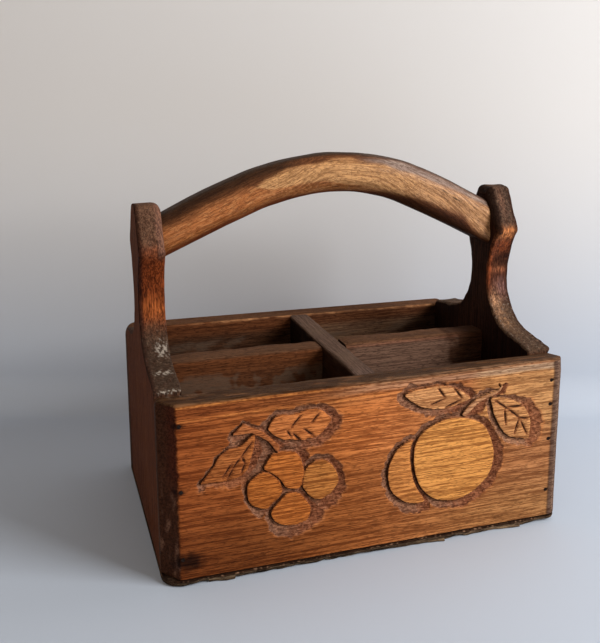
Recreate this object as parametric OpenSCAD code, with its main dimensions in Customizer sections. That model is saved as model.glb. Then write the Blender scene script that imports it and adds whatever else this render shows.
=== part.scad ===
/* [Tray] */
// Length of the front and back panels
tray_w = 280; // [270:1:340]
// Depth from the front face to the back face
tray_d = 188; // [170:1:240]
// Height of the front rim above the table
rim_h = 120; // [118:1:150]
// Thickness of the front and back panels
panel_t = 20; // [16:1:24]
// How much higher the back rim is than the front rim
back_rise = 1; // [0:0.5:4]
// Radius worn on the outer upright corners of the panels
panel_corner_r = 7; // [2:0.5:9]
// Width of the flat planed off the front panel's left end, along the carved face
left_bevel_w = 10; // [9:0.5:10.5]
// Depth of that flat along the panel's end
left_bevel_d = 13; // [9:0.5:15]
// Radius worn on the long top edges of the panels
panel_top_r = 3; // [1:0.5:6]
// Radius worn on the top corners of the panels, seen from the front
panel_ear_r = 8; // [2:1:12]
// Thickness of the bottom board
floor_t = 5; // [4:0.5:12]

/* [End boards] */
// Thickness of the two end boards
end_t = 16; // [14:1:20]
// Height of the shoulder's foot above the front rim
foot_rise = 3; // [1:0.5:8]
// Angle at which the shoulder climbs towards the neck
shoulder_angle = 9; // [4:1:14]
// Radius of the hollow between shoulder and neck
shoulder_r = 35; // [25:1:42]
// Width of the neck at its narrowest
neck_w = 26; // [22:1:34]
// Radius of the hollow between neck and head
head_hollow_r = 62; // [50:1:80]
// Width of the head at its widest
head_w = 52; // [46:1:60]
// Height from the widest part of the head to its top
head_rise = 31; // [26:1:40]
// Width of the flat on top of the head
head_top_w = 17; // [10:1:24]

/* [Handle] */
// Height of the middle of the handle's end above the neck
grip_seat = 43; // [38:1:48]
// Radius of the handle's bow, along its middle line
bow_r = 150; // [130:5:190]
// Slope of the handle's straight ends
bow_angle = 24; // [16:1:28]
// Thickness of the handle, square to its length
grip_t = 28; // [24:1:30]
// Width of the handle from front to back
grip_w = 28; // [24:1:32]
// Width of the flats that take off the handle's corners, measured along a face
grip_chamfer = 8; // [4:0.5:9]
// Diameter of the blind peg in each end of the handle
peg_d = 8; // [6:0.5:10]
// Depth of the peg in the handle
peg_in_handle = 20; // [12:1:22]
// Depth of the peg in the end board
peg_in_end = 10; // [8:1:12]

/* [Dividers] */
// Thickness of the divider that runs the length of the tray
long_divider_t = 18; // [12:1:20]
// Thickness of the divider that runs from front to back
cross_divider_t = 15; // [12:1:18]
// Drop of the long divider below the front rim
long_divider_drop = 1; // [0.5:0.5:10]
// Depth of the grooves that hold the ends of the dividers
housing_depth = 3; // [2:0.5:6]
// Extra width of the slot in the long divider, worn open on its right side
slot_wear = 3; // [0:0.5:4]

/* [Nails] */
// Diameter of a nail's shank
nail_d = 1.6; // [1.4:0.2:2.2]
// Length of a corner nail under its head
corner_nail_l = 40; // [36:1:50]
// Length of a bottom nail under its head
floor_nail_l = 25; // [20:1:30]
// Diameter of a nail's head
nail_head_d = 2.4; // [2.4:0.2:3]
// Thickness of a nail's head
nail_head_t = 0.8; // [0.6:0.1:1.2]
// Distance of the left corner nails from the inner face of the left end board
left_nail_in = 4; // [3:0.2:4.2]
// Distance of the right corner nails from the inner face of the right end board
right_nail_in = 7; // [4:0.5:8]

/* [Carving] */
// Distance of each carved spray's centre from the middle of the front panel
spray_x = 66; // [60:1:70]
// Radius of the large plum
plum_r = 30.5; // [24:0.5:32]
// Radius of the plum that shows behind the large one
back_plum_r = 24; // [18:0.5:25]
// Radius of a berry
berry_r = 12.5; // [9:0.5:13]
// Depth of the gouged ground at the edge of a fruit or leaf
ground_depth = 2.5; // [1:0.5:4]
// Width of the gouged ground around a fruit or leaf
ground_w = 7; // [3:0.5:8]
// Width of the cut between two fruits that overlap
cut_w = 2.4; // [1.8:0.2:4]
// Depth of the cut between two fruits that overlap
cut_depth = 1.7; // [0.8:0.1:2]
// Width of the flat left at the foot of a carved wall
ground_ledge = 0.6; // [0.3:0.1:1.5]
// Width of a carved stem
stem_w = 4.5; // [3:0.5:7]

/* [Fits] */
// Clearance on each side of a divider in its groove or slot
divider_fit = 0.2; // [0.1:0.05:0.5]
// Clearance around a nail or peg in its hole
pin_fit = 0.05; // [0.02:0.01:0.1]

/* [Hidden] */
$fn = 64;
// Overshoot of a cutter past the face that it opens
over = 1;
// Half the length and half the depth of the space between the boards
inner_x = tray_w / 2 - end_t;
inner_y = tray_d / 2 - panel_t;
// Shoulder line of an end board and the centre height of its two hollows
foot_z = rim_h + foot_rise;
shoulder_hollow_y = neck_w / 2 + shoulder_r;
neck_z = foot_z + (inner_y - shoulder_hollow_y) * tan(shoulder_angle) + shoulder_r / cos(shoulder_angle);
shoulder_top_y = shoulder_hollow_y - shoulder_r * sin(shoulder_angle);
shoulder_top_z = neck_z - shoulder_r * cos(shoulder_angle);
head_hollow_y = neck_w / 2 + head_hollow_r;
head_z = neck_z + sqrt(pow(head_hollow_r, 2) - pow(head_hollow_y - head_w / 2, 2));
head_top_z = head_z + head_rise;
// Middle line of the handle: where it meets an end board, its bow's top and its bow's centre
seat_z = neck_z + grip_seat;
bow_half_span = bow_r * sin(bow_angle);
bow_top_z = seat_z + (inner_x - bow_half_span) * tan(bow_angle) + bow_r * (1 - cos(bow_angle));
bow_centre_z = bow_top_z - bow_r;
peg_z = seat_z + peg_in_handle / 2 * tan(bow_angle);
// Tops of the dividers and the height at which their slots meet
long_top_z = rim_h - long_divider_drop;
lap_z = (floor_t + rim_h) / 2;
// Heights of the corner nails at the left and at the right end, as shares of a panel's height
corner_nail_at = [[0.123, 0.515, 0.887], [0.175, 0.51, 0.735, 0.887]];
corner_nail_x = [-inner_x - left_nail_in, inner_x + right_nail_in];
// Places of the bottom nails along the panels and along the end boards
floor_nail_x = [-110, -40, 40, 110];
end_nail_x = inner_x + end_t / 2;
floor_nail_y = [-28, 28];
// Carved sprays: heights and offsets from each spray's centre, seen from the front
spray_z = (floor_t + rim_h) / 2;
plum_at = [-8.4, -3.9];
back_plum_at = [-34, -8.7];
berries_at = [[5.2, 6.1], [27.5, -3.4], [-9.4, -5.2], [8, -20.8]];
// Each leaf: its base, its direction, its length and its bulge to the left and right of that direction
plum_leaves = [
    [[2.3, 39], 171.8, 49, 11, 8],
    [[16.5, 37], -46.3, 47.5, 14.5, 9]
];
berry_leaves = [
    [[-13, 34.5], 219.6, 47, 10, 7],
    [[-8, 36.5], 1.3, 44.5, 9.5, 12],
    [[-10.5, 35], 173, 22, 5, 4]
];
// Plum stem: a bow from the plum's top to its cut end; berry stem: straight, down into the top berry
plum_stem_from = [-3, 26.5];
plum_stem_to = [26, 43.8];
plum_stem_bulge = 2.7;
berry_stem_from = [-12, 37];
berry_stem_to = [2, 11];

// A nail along +Z with the top of its head at the origin's level; slack widens it into its hole
module nail(shank_l, slack = 0) {
    translate([0, 0, -nail_head_t - shank_l - slack])
        cylinder(h = shank_l + nail_head_t + slack, d = nail_d + 2 * slack);
    translate([0, 0, -nail_head_t - slack])
        cylinder(h = nail_head_t + slack + (slack > 0 ? over : 0), d = nail_head_d + 2 * slack);
}

// Corner nails through one long panel: side is -1 for the front and 1 for the back
module corner_nails(side, slack = 0) {
    for (end = [0, 1], share = corner_nail_at[end])
        translate([corner_nail_x[end], side * tray_d / 2, floor_t + share * (rim_h - floor_t)])
            rotate([-90 * side, 0, 0])
                nail(corner_nail_l, slack);
}

// Nails driven up through the bottom board into the panels and the end boards
module bottom_nails(slack = 0) {
    panel_y = tray_d / 2 - panel_t / 2;
    for (x = floor_nail_x, y = [-panel_y, panel_y])
        translate([x, y, 0]) rotate([180, 0, 0]) nail(floor_nail_l, slack);
    for (x = [-end_nail_x, end_nail_x], y = floor_nail_y)
        translate([x, y, 0]) rotate([180, 0, 0]) nail(floor_nail_l, slack);
}

// Rectangle from the origin with chosen radii on its two far corners, each as a true arc
module rounded_far_corners(size, r) {
    difference() {
        square(size);
        for (side = [0, 1])
            translate([side * size[0], size[1]])
                mirror([side, 0])
                    difference() {
                        translate([-over, -r]) square([r + over, r + over]);
                        translate([r, -r]) circle(r);
                    }
    }
}

// A front or back panel with its outer face at Y = 0 and its inner face at Y = panel_t
module plain_panel(height) {
    length = tray_w;
    intersection() {
        // Plan: worn outer upright corners
        translate([-length / 2, panel_t, floor_t])
            mirror([0, 1, 0])
                linear_extrude(height - floor_t)
                    rounded_far_corners([length, panel_t], panel_corner_r);
        // End view: worn top edges
        translate([-length / 2, 0, floor_t])
            rotate([90, 0, 90])
                linear_extrude(length)
                    rounded_far_corners([panel_t, height - floor_t], panel_top_r);
        // Front view: worn top corners
        translate([-length / 2, panel_t, floor_t])
            rotate([90, 0, 0])
                linear_extrude(panel_t)
                    rounded_far_corners([length, height - floor_t], panel_ear_r);
    }
}

// Groove for one end of the cross divider, cut into a panel's inner face at Y = panel_t
module panel_housing(height) {
    width = cross_divider_t + 2 * divider_fit;
    translate([-width / 2, panel_t - housing_depth, floor_t - over])
        cube([width, housing_depth + over, height + over]);
}

// Lens-shaped leaf outline from the origin along +X, between two arcs
function arc_r(chord, bulge) = (chord * chord / 4 + bulge * bulge) / (2 * bulge);

module leaf_prism(chord, left, right) {
    intersection() {
        translate([chord / 2, left - arc_r(chord, left), -ground_depth - over])
            cylinder(h = ground_depth + 2 * over, r = arc_r(chord, left));
        translate([chord / 2, arc_r(chord, right) - right, -ground_depth - over])
            cylinder(h = ground_depth + 2 * over, r = arc_r(chord, right));
    }
}

// Round hollow around a wall of radius r: a flat ledge at the wall's foot, then a slope up to the face
module dish(r, width, depth) {
    slope = (width - ground_ledge) / depth;
    translate([0, 0, -depth])
        cylinder(h = depth + over, r1 = r + ground_ledge, r2 = r + ground_ledge + slope * (depth + over));
}

module leaf_dish(chord, left, right) {
    intersection() {
        translate([chord / 2, left - arc_r(chord, left)]) dish(arc_r(chord, left), ground_w, ground_depth);
        translate([chord / 2, arc_r(chord, right) - right]) dish(arc_r(chord, right), ground_w, ground_depth);
    }
}

module fruit_prism(r) {
    translate([0, 0, -ground_depth - over])
        cylinder(h = ground_depth + 2 * over, r = r);
}

// Cut that parts a fruit from the one behind it: upright at the front fruit, sloping out over cut_w
module fruit_cut(r) {
    dish(r, cut_w, cut_depth);
}

// Places children at a leaf's base, turned to its direction
module at_leaf(leaf) {
    translate(leaf[0]) rotate(leaf[1]) children();
}

// Straight stem of the berries, left standing between the leaves
module berry_stem() {
    run = berry_stem_to - berry_stem_from;
    translate(berry_stem_from)
        rotate(atan2(run[1], run[0]))
            translate([0, -stem_w / 2, -ground_depth - over])
                cube([norm(run), stem_w, ground_depth + 2 * over]);
}

// Bowed stem of the plum, left standing between its leaves
module bowed_stem() {
    run = plum_stem_to - plum_stem_from;
    chord = norm(run);
    r = arc_r(chord, plum_stem_bulge);
    half_angle = asin(chord / 2 / r);
    reach = 2 * r;
    translate(plum_stem_from)
        rotate(atan2(run[1], run[0]))
            translate([chord / 2, plum_stem_bulge - r])
                intersection() {
                    difference() {
                        fruit_prism(r + stem_w / 2);
                        translate([0, 0, -ground_depth - 2 * over])
                            cylinder(h = ground_depth + 4 * over, r = r - stem_w / 2);
                    }
                    translate([0, 0, -ground_depth - over])
                        linear_extrude(ground_depth + 3 * over)
                            polygon([[0, 0], [-reach * tan(half_angle), reach], [reach * tan(half_angle), reach]]);
                }
}

// Gouged ground of the plum spray, with the plums, leaves and stem left standing
module plum_spray() {
    difference() {
        union() {
            translate(plum_at) dish(plum_r, ground_w, ground_depth);
            translate(back_plum_at) dish(back_plum_r, ground_w, ground_depth);
            for (leaf = plum_leaves) at_leaf(leaf) leaf_dish(leaf[2], leaf[3], leaf[4]);
        }
        translate(plum_at) fruit_prism(plum_r);
        difference() {
            translate(back_plum_at) fruit_prism(back_plum_r);
            translate(plum_at) fruit_cut(plum_r);
        }
        for (leaf = plum_leaves) at_leaf(leaf) leaf_prism(leaf[2], leaf[3], leaf[4]);
        bowed_stem();
    }
}

// Gouged ground of the berry spray, with the berries, leaves and stems left standing
module berry_spray() {
    back_berry = berries_at[0];
    front_berries = [for (i = [1 : len(berries_at) - 1]) berries_at[i]];
    difference() {
        union() {
            for (at = berries_at) translate(at) dish(berry_r, ground_w, ground_depth);
            for (leaf = berry_leaves) at_leaf(leaf) leaf_dish(leaf[2], leaf[3], leaf[4]);
        }
        difference() {
            translate(back_berry) fruit_prism(berry_r);
            for (at = front_berries) translate(at) fruit_cut(berry_r);
        }
        for (at = front_berries) translate(at) fruit_prism(berry_r);
        for (leaf = berry_leaves) at_leaf(leaf) leaf_prism(leaf[2], leaf[3], leaf[4]);
        berry_stem();
    }
}

// Flat planed off the tray's front left corner, from the carved face back to the end
module left_bevel() {
    translate([-tray_w / 2, -tray_d / 2, -over])
        linear_extrude(rim_h + 2 * over)
            polygon([
                [-left_bevel_w, 2 * left_bevel_d], [-left_bevel_w, -left_bevel_d], [2 * left_bevel_w, -left_bevel_d]
            ]);
}

module front_panel() {
    color("#b0692c")
        difference() {
            translate([0, -tray_d / 2, 0])
                difference() {
                    plain_panel(rim_h);
                    panel_housing(rim_h);
                    translate([spray_x, 0, spray_z]) rotate([90, 0, 0]) plum_spray();
                    translate([-spray_x, 0, spray_z]) rotate([90, 0, 0]) berry_spray();
                }
            left_bevel();
            corner_nails(-1, pin_fit);
            bottom_nails(pin_fit);
        }
}

module back_panel() {
    height = rim_h + back_rise;
    color("#8a5228")
        difference() {
            translate([0, tray_d / 2, 0])
                mirror([0, 1, 0])
                    difference() {
                        plain_panel(height);
                        panel_housing(height);
                    }
            corner_nails(1, pin_fit);
            bottom_nails(pin_fit);
        }
}

// Outline of an end board in the plane of its face: X runs from front to back, Y is height
module end_outline() {
    difference() {
        polygon([
            [-inner_y, floor_t], [inner_y, floor_t], [inner_y, foot_z], [shoulder_top_y, shoulder_top_z],
            [head_w / 2, head_z], [head_top_w / 2, head_top_z],
            [-head_top_w / 2, head_top_z], [-head_w / 2, head_z],
            [-shoulder_top_y, shoulder_top_z], [-inner_y, foot_z]
        ]);
        for (side = [-1, 1]) {
            translate([side * shoulder_hollow_y, neck_z]) circle(shoulder_r);
            intersection() {
                translate([side * head_hollow_y, neck_z]) circle(head_hollow_r);
                translate([side * head_hollow_y - head_hollow_r, neck_z]) square(2 * head_hollow_r);
            }
        }
    }
}

// An end board at the left end of the tray, before its nails; the right one is its mirror image
module end_board() {
    groove_w = long_divider_t + 2 * divider_fit;
    difference() {
        translate([-tray_w / 2, 0, 0])
            rotate([90, 0, 90])
                linear_extrude(end_t)
                    end_outline();
        translate([-inner_x - housing_depth, -groove_w / 2, floor_t - over])
            cube([housing_depth + over, groove_w, long_top_z - floor_t + over]);
        peg_hole();
    }
}

// Holes that the nails leave in the end boards
module nail_holes() {
    corner_nails(-1, pin_fit);
    corner_nails(1, pin_fit);
    bottom_nails(pin_fit);
}

module left_end() {
    color("#5e3019")
        difference() {
            end_board();
            nail_holes();
        }
}

module right_end() {
    color("#5e3019")
        difference() {
            mirror([1, 0, 0]) end_board();
            nail_holes();
        }
}

// Plan of the bottom board, with the same worn corners as the panels above it
module bottom_blank() {
    intersection_for(side = [0, 1])
        mirror([0, side, 0])
            translate([-tray_w / 2, -tray_d / 2, 0])
                linear_extrude(floor_t)
                    rounded_far_corners([tray_w, tray_d], panel_corner_r);
}

module bottom_board() {
    color("#4a2c18")
        difference() {
            bottom_blank();
            left_bevel();
            bottom_nails(pin_fit);
        }
}

module long_divider() {
    length = 2 * (inner_x + housing_depth - divider_fit);
    color("#6b3d1e")
        difference() {
            translate([-length / 2, -long_divider_t / 2, floor_t])
                cube([length, long_divider_t, long_top_z - floor_t]);
            translate([-cross_divider_t / 2 - divider_fit, -long_divider_t, lap_z])
                cube([cross_divider_t + 2 * divider_fit + slot_wear, 2 * long_divider_t, rim_h]);
        }
}

module cross_divider() {
    length = 2 * (inner_y + housing_depth - divider_fit);
    color("#7a4826")
        difference() {
            translate([-cross_divider_t / 2, -length / 2, floor_t])
                cube([cross_divider_t, length, rim_h - floor_t]);
            translate([-cross_divider_t, -long_divider_t / 2 - divider_fit, 0])
                cube([2 * cross_divider_t, long_divider_t + 2 * divider_fit, lap_z]);
        }
}

// Cross-section of the handle: a rectangle with its four corners planed off
module grip_section() {
    x = grip_t / 2;
    y = grip_w / 2;
    c = grip_chamfer;
    polygon([
        [x, y - c], [x - c, y], [c - x, y], [-x, y - c],
        [-x, c - y], [c - x, -y], [x - c, -y], [x, c - y]
    ]);
}

// Right half of the handle: half of its bow, then a straight end that meets the end board's inner face
module half_handle() {
    past_middle = 2;
    intersection() {
        translate([0, 0, bow_centre_z])
            union() {
                rotate([90, 0, 0])
                    rotate(90 - bow_angle)
                        rotate_extrude(angle = bow_angle + past_middle, $fn = 128)
                            translate([bow_r, 0]) grip_section();
                rotate([0, bow_angle, 0])
                    translate([0, 0, bow_r])
                        rotate([90, 0, 90])
                            rotate(90)
                                linear_extrude(inner_x) grip_section();
            }
        translate([0, -grip_w, 0])
            cube([inner_x, 2 * grip_w, 2 * head_top_z]);
    }
}

module handle() {
    color("#9a5c2a")
        difference() {
            union() {
                half_handle();
                mirror([1, 0, 0]) half_handle();
            }
            peg_hole();
            mirror([1, 0, 0]) peg_hole();
        }
}

// Blind hole for the left peg, through the joint between end board and handle
module peg_hole() {
    translate([-inner_x - peg_in_end - pin_fit, 0, peg_z])
        rotate([0, 90, 0])
            cylinder(h = peg_in_end + peg_in_handle + 2 * pin_fit, d = peg_d + 2 * pin_fit);
}

module handle_peg() {
    translate([-inner_x - peg_in_end, 0, peg_z])
        rotate([0, 90, 0])
            cylinder(h = peg_in_end + peg_in_handle, d = peg_d);
}

module left_handle_peg() {
    color("#c79a62") handle_peg();
}

module right_handle_peg() {
    color("#c79a62") mirror([1, 0, 0]) handle_peg();
}

module front_nails() {
    color("#3a3330") corner_nails(-1);
}

module back_nails() {
    color("#3a3330") corner_nails(1);
}

module floor_nails() {
    color("#3a3330") bottom_nails();
}

front_panel();
back_panel();
left_end();
right_end();
bottom_board();
long_divider();
cross_divider();
handle();
left_handle_peg();
right_handle_peg();
front_nails();
back_nails();
floor_nails();
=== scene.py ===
import math

import bpy
import numpy as np
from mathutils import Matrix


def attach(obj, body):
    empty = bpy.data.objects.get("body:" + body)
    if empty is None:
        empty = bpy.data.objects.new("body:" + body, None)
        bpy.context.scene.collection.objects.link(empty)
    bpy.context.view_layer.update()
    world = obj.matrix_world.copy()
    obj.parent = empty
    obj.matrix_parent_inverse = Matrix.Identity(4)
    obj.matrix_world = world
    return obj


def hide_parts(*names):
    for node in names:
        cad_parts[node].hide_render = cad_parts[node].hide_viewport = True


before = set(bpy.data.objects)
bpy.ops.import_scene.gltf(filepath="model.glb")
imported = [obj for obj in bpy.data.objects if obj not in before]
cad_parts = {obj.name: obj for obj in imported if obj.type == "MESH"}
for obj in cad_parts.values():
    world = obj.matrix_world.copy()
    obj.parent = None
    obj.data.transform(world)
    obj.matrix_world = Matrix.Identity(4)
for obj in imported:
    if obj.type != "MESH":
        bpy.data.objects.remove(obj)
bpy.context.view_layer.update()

# Bottom board
# A thin board nailed up from below under the whole tray, flush with the panels and never planed
# on its edges, which are dark and fibrous, with slivers split off along the front.
MM = 0.001
half_w, half_d = 140.0, 94.0
floor_top = 5.0
bevel_w, bevel_d, bevel_soft = 10.0, 13.0, 0.5
corner_r = 7.0
foot_round_w, foot_round_d = 13.0, 14.5
right_swell = 1.6


def wander(x, seed, longest, shortest, waves=9):
    """Smooth irregular line along x in mm, about -1 to 1: a sum of sines whose wavelengths run
    evenly in ratio from longest to shortest, with drawn phases."""
    draw = np.random.default_rng(seed)
    length = np.geomspace(longest, shortest, waves)
    phase = draw.uniform(0, 2 * np.pi, waves)
    return np.sin(2 * np.pi * x[..., None] / length + phase).sum(-1) / math.sqrt(waves)


def mottle(a, b, seed, longest, shortest, waves=16):
    """Smooth irregular patches over a and b in mm, about -1 to 1: a sum of plane waves in drawn
    directions, with wavelengths from longest to shortest."""
    draw = np.random.default_rng(seed)
    length = np.geomspace(longest, shortest, waves)
    turn, phase = draw.uniform(0, 2 * np.pi, (2, waves))
    way = a[..., None] * np.cos(turn) + b[..., None] * np.sin(turn)
    return np.sin(2 * np.pi * way / length + phase).sum(-1) / math.sqrt(waves)


def ramp(x, low, high):
    """0 below low, 1 above high, and a smooth S between them; low may be the larger."""
    t = np.clip((x - low) / (high - low), 0, 1)
    return t * t * (3 - 2 * t)


def bump_at(x, centre, width):
    """Bell curve of height 1 about a centre."""
    return np.exp(-((x - centre) / width) ** 2)


def quarter_drop(past, radius):
    """How far a quarter circle of that radius falls away, past mm after its start."""
    return radius - np.sqrt(radius ** 2 - np.clip(past, 0, radius) ** 2)


def front_cut(x):
    """Plan of the worn front corners: the flat planed off at the left, with a soft start, and a quarter
    circle at the right."""
    past = np.clip(bevel_w - half_w - x, -20, bevel_w)
    flat = bevel_soft * np.log1p(np.exp(past / bevel_soft)) * bevel_d / bevel_w
    return flat + quarter_drop(x - half_w + corner_r, corner_r)


def foot_cut(x):
    """Plan of the bottom board's worn front corners: like front_cut, but a rounder quarter of an oval
    at the left."""
    past = np.clip((foot_round_w - half_w - x) / foot_round_w, 0, 1)
    return foot_round_d * (1 - np.sqrt(1 - past ** 2)) + quarter_drop(x - half_w + corner_r, corner_r)


def back_cut(x):
    """Plan of the worn back corners: a quarter circle at each end."""
    return quarter_drop(np.abs(x) - half_w + corner_r, corner_r)


def swollen(x):
    """The right end stands a little further out than the left one."""
    return x + right_swell * ramp(x, 116, half_w)


def stations(step):
    """Places along X from end to end: even steps, with closer ones round the corners."""
    bend = half_w - corner_r + corner_r * np.sin(np.linspace(0, np.pi / 2, 9))
    even = np.arange(-half_w + 2 * corner_r, half_w - 2 * corner_r, step)
    left = np.linspace(-half_w, -half_w + 2 * corner_r, 21)
    return np.unique(np.round(np.concatenate([left, even, bend, -bend]), 4))


def even_shares(count):
    """Shares that cut a side into count equal lengths."""
    return np.linspace(0, 1, count + 1)[1:-1]


def rounded_section(low_a, high_a, low_b, high_b, radii, on_a, on_b, on_arc=4):
    """One ring per station: a rectangle from low to high in two directions whose corners are quarter
    circles of the four radii, joined by straight sides cut at the given shares of their length."""
    turn = np.linspace(0, np.pi / 2, on_arc + 1)
    low_a, high_a, low_b, high_b, *radii = np.broadcast_arrays(low_a, high_a, low_b, high_b, *radii)
    corners = ((low_a, 1, low_b, 1, 2), (high_a, -1, low_b, 1, 3),
               (high_a, -1, high_b, -1, 0), (low_a, 1, high_b, -1, 1))
    arcs = []
    for (a, way_a, b, way_b, quarter), r in zip(corners, radii):
        angle = turn + quarter * np.pi / 2
        arcs.append(np.stack([(a + way_a * r)[:, None] + r[:, None] * np.cos(angle),
                              (b + way_b * r)[:, None] + r[:, None] * np.sin(angle)], -1))
    ring = []
    for k, share in enumerate((on_a, on_b, 1 - on_a[::-1], 1 - on_b[::-1])):
        first, last = arcs[k][:, -1:], arcs[(k + 1) % 4][:, :1]
        ring += [arcs[k], first + (last - first) * share[:, None]]
    return np.concatenate(ring, 1)


def skin(name, rings, sharp=34.0):
    """Closed piece over a stack of closed rings, rings[t, s] in mm: quads join each ring to the next,
    one face closes each end, and the sign of the enclosed volume turns all faces outwards."""
    count, around = rings.shape[:2]
    index = np.arange(count * around).reshape(count, around)
    near, far = index[:-1], index[1:]
    quads = np.stack([near, np.roll(near, -1, 1), np.roll(far, -1, 1), far], -1).reshape(-1, 4)
    points = rings.reshape(-1, 3) * MM
    ends = [index[0][::-1], index[-1]]
    a, b, c, d = np.moveaxis(points[quads], 1, 0)
    volume = (np.cross(a, b) * c).sum() + (np.cross(a, c) * d).sum()
    for end in ends:
        p = points[end]
        volume += (np.cross(p[1:-1], p[2:]) * p[0]).sum()
    turn = slice(None, None, 1 if volume > 0 else -1)
    faces = quads[:, turn].tolist() + [end[turn].tolist() for end in ends]
    mesh = bpy.data.meshes.new(name)
    mesh.from_pydata(points.tolist(), [], faces)
    mesh.shade_smooth()
    mesh.set_sharp_from_angle(angle=math.radians(sharp))
    piece = bpy.data.objects.new(name, mesh)
    bpy.context.scene.collection.objects.link(piece)
    return piece


def paint(piece, tint, **masks):
    """Stores painted values on the piece's points: the tint is a colour that multiplies the grain's, and
    each mask goes from 0 to 1."""
    rgba = np.concatenate([tint.reshape(-1, 3), np.ones((tint.size // 3, 1))], 1)
    layer = piece.data.attributes.new("tint", "FLOAT_COLOR", "POINT")
    layer.data.foreach_set("color", rgba.astype(np.float32).ravel())
    for name, value in masks.items():
        layer = piece.data.attributes.new(name, "FLOAT", "POINT")
        layer.data.foreach_set("value", np.clip(value, 0, 1).astype(np.float32).ravel())


def untinted(like):
    """Tint of 1 at each point, which leaves the grain its own colour."""
    return np.ones(like.shape + (3,))


def blended(base, *layers):
    """Painted colour: starts from base and goes over to each layer's colour by its mask, in turn."""
    tint = np.asarray(base, float)
    for mask, colour in layers:
        tint = tint + (np.asarray(colour) - tint) * np.clip(mask, 0, 1)[..., None]
    return tint


def group_of(name, inputs, outputs):
    """New shader node group with the named sockets, and its input and output nodes."""
    group = bpy.data.node_groups.new(name, "ShaderNodeTree")
    for label, kind in inputs:
        group.interface.new_socket(label, in_out="INPUT", socket_type="NodeSocket" + kind)
    for label, kind in outputs:
        group.interface.new_socket(label, in_out="OUTPUT", socket_type="NodeSocket" + kind)
    return group, group.nodes.new("NodeGroupInput"), group.nodes.new("NodeGroupOutput")


def put(tree, kind, links=None, **settings):
    """New node of that kind with its settings; links gives sockets or plain values to its inputs."""
    node = tree.nodes.new(kind)
    for label, value in settings.items():
        setattr(node, label, value)
    for socket, value in (links or {}).items():
        if isinstance(value, bpy.types.NodeSocket):
            tree.links.new(value, node.inputs[socket])
        else:
            node.inputs[socket].default_value = value
    return node


def stretched_noise(tree, vector, stretch, detail, roughness=0.55, distortion=0.0):
    """Noise whose cells per metre are given along and across the grain."""
    scaled = put(tree, "ShaderNodeVectorMath", {0: vector, 1: stretch}, operation="MULTIPLY")
    return put(tree, "ShaderNodeTexNoise", {"Vector": scaled.outputs[0], "Scale": 1.0, "Detail": detail,
                                            "Roughness": roughness, "Distortion": distortion}).outputs["Fac"]


def spread(tree, value, low, high):
    """Smooth step of a shader value from low to high."""
    return put(tree, "ShaderNodeMapRange", {"Value": value, "From Min": low, "From Max": high},
               interpolation_type="SMOOTHSTEP").outputs["Result"]


def calc(tree, operation, a, b):
    """One sum on shader values."""
    return put(tree, "ShaderNodeMath", {0: a, 1: b}, operation=operation).outputs[0]


def mixed(tree, share, a, b, kind="MIX"):
    """Colour a going over to b by share."""
    return put(tree, "ShaderNodeMix", {0: share, 6: a, 7: b}, data_type="RGBA", blend_type=kind).outputs[2]


def swing(tree, noise, reach):
    """A noise value about a half, turned into one about zero that swings by its reach."""
    return calc(tree, "MULTIPLY", calc(tree, "SUBTRACT", noise, 0.5), reach)


# Grain of a plank that runs along X: broad streaks, fine fibres and short dark pores
grain, taken, given = group_of(
    "plank grain",
    [("Vector", "Vector"), ("Light", "Color"), ("Dark", "Color"), ("Pore", "Color"), ("Pore Strength", "Float")],
    [("Color", "Color"), ("Height", "Float")])
streaks = stretched_noise(grain, taken.outputs["Vector"], (12.0, 760.0, 760.0), 3.0, 0.6, 0.4)
fibres = stretched_noise(grain, taken.outputs["Vector"], (75.0, 1700.0, 1700.0), 2.0, 0.6, 0.3)
dashes = stretched_noise(grain, taken.outputs["Vector"], (260.0, 1900.0, 1900.0), 1.0)
figure = calc(grain, "ADD", calc(grain, "MULTIPLY", streaks, 0.5), calc(grain, "MULTIPLY", fibres, 0.5))
figure = spread(grain, figure, 0.42, 0.58)
pores = spread(grain, dashes, 0.56, 0.66)
colour = mixed(grain, figure, taken.outputs["Dark"], taken.outputs["Light"])
colour = mixed(grain, calc(grain, "MULTIPLY", pores, taken.outputs["Pore Strength"]), colour, taken.outputs["Pore"])
grain.links.new(colour, given.inputs["Color"])
grain.links.new(calc(grain, "SUBTRACT", calc(grain, "MULTIPLY", figure, 0.5), pores), given.inputs["Height"])

# Patina: painted wear broken into specks, soft dust, grime in the hollows with some painted shade, and polish by hands
patina, taken, given = group_of(
    "old patina",
    [("Color", "Color"), ("Vector", "Vector"), ("Wear", "Float"), ("Dust", "Float"), ("Grime And Shade", "Float"),
     ("Polish", "Float"), ("Worn", "Color"), ("Dusty", "Color"), ("Grimy And Shaded", "Color"), ("Gloss", "Float")],
    [("Color", "Color"), ("Roughness", "Float")])
specks = stretched_noise(patina, taken.outputs["Vector"], (420.0, 1100.0, 1100.0), 3.0, 0.7)
blotches = stretched_noise(patina, taken.outputs["Vector"], (110.0, 330.0, 330.0), 5.0, 0.7, 0.4)
worn = spread(patina, calc(patina, "ADD", taken.outputs["Wear"], swing(patina, specks, 1.3)), 0.3, 0.8)
dusty = calc(patina, "ADD", calc(patina, "MULTIPLY", blotches, 1.9), 0.05)
dusty = spread(patina, calc(patina, "MULTIPLY", taken.outputs["Dust"], dusty), 0.1, 0.9)
dusty = calc(patina, "MULTIPLY", dusty, 0.62)
grimy_shaded = spread(patina, calc(patina, "ADD", taken.outputs["Grime And Shade"], swing(patina, blotches, 0.7)), 0.25, 0.85)
grimy_shaded = calc(patina, "MULTIPLY", grimy_shaded, 0.92)
colour = mixed(patina, worn, taken.outputs["Color"], taken.outputs["Worn"])
colour = mixed(patina, dusty, colour, taken.outputs["Dusty"])
colour = mixed(patina, grimy_shaded, colour, taken.outputs["Grimy And Shaded"])
patina.links.new(colour, given.inputs["Color"])
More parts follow.
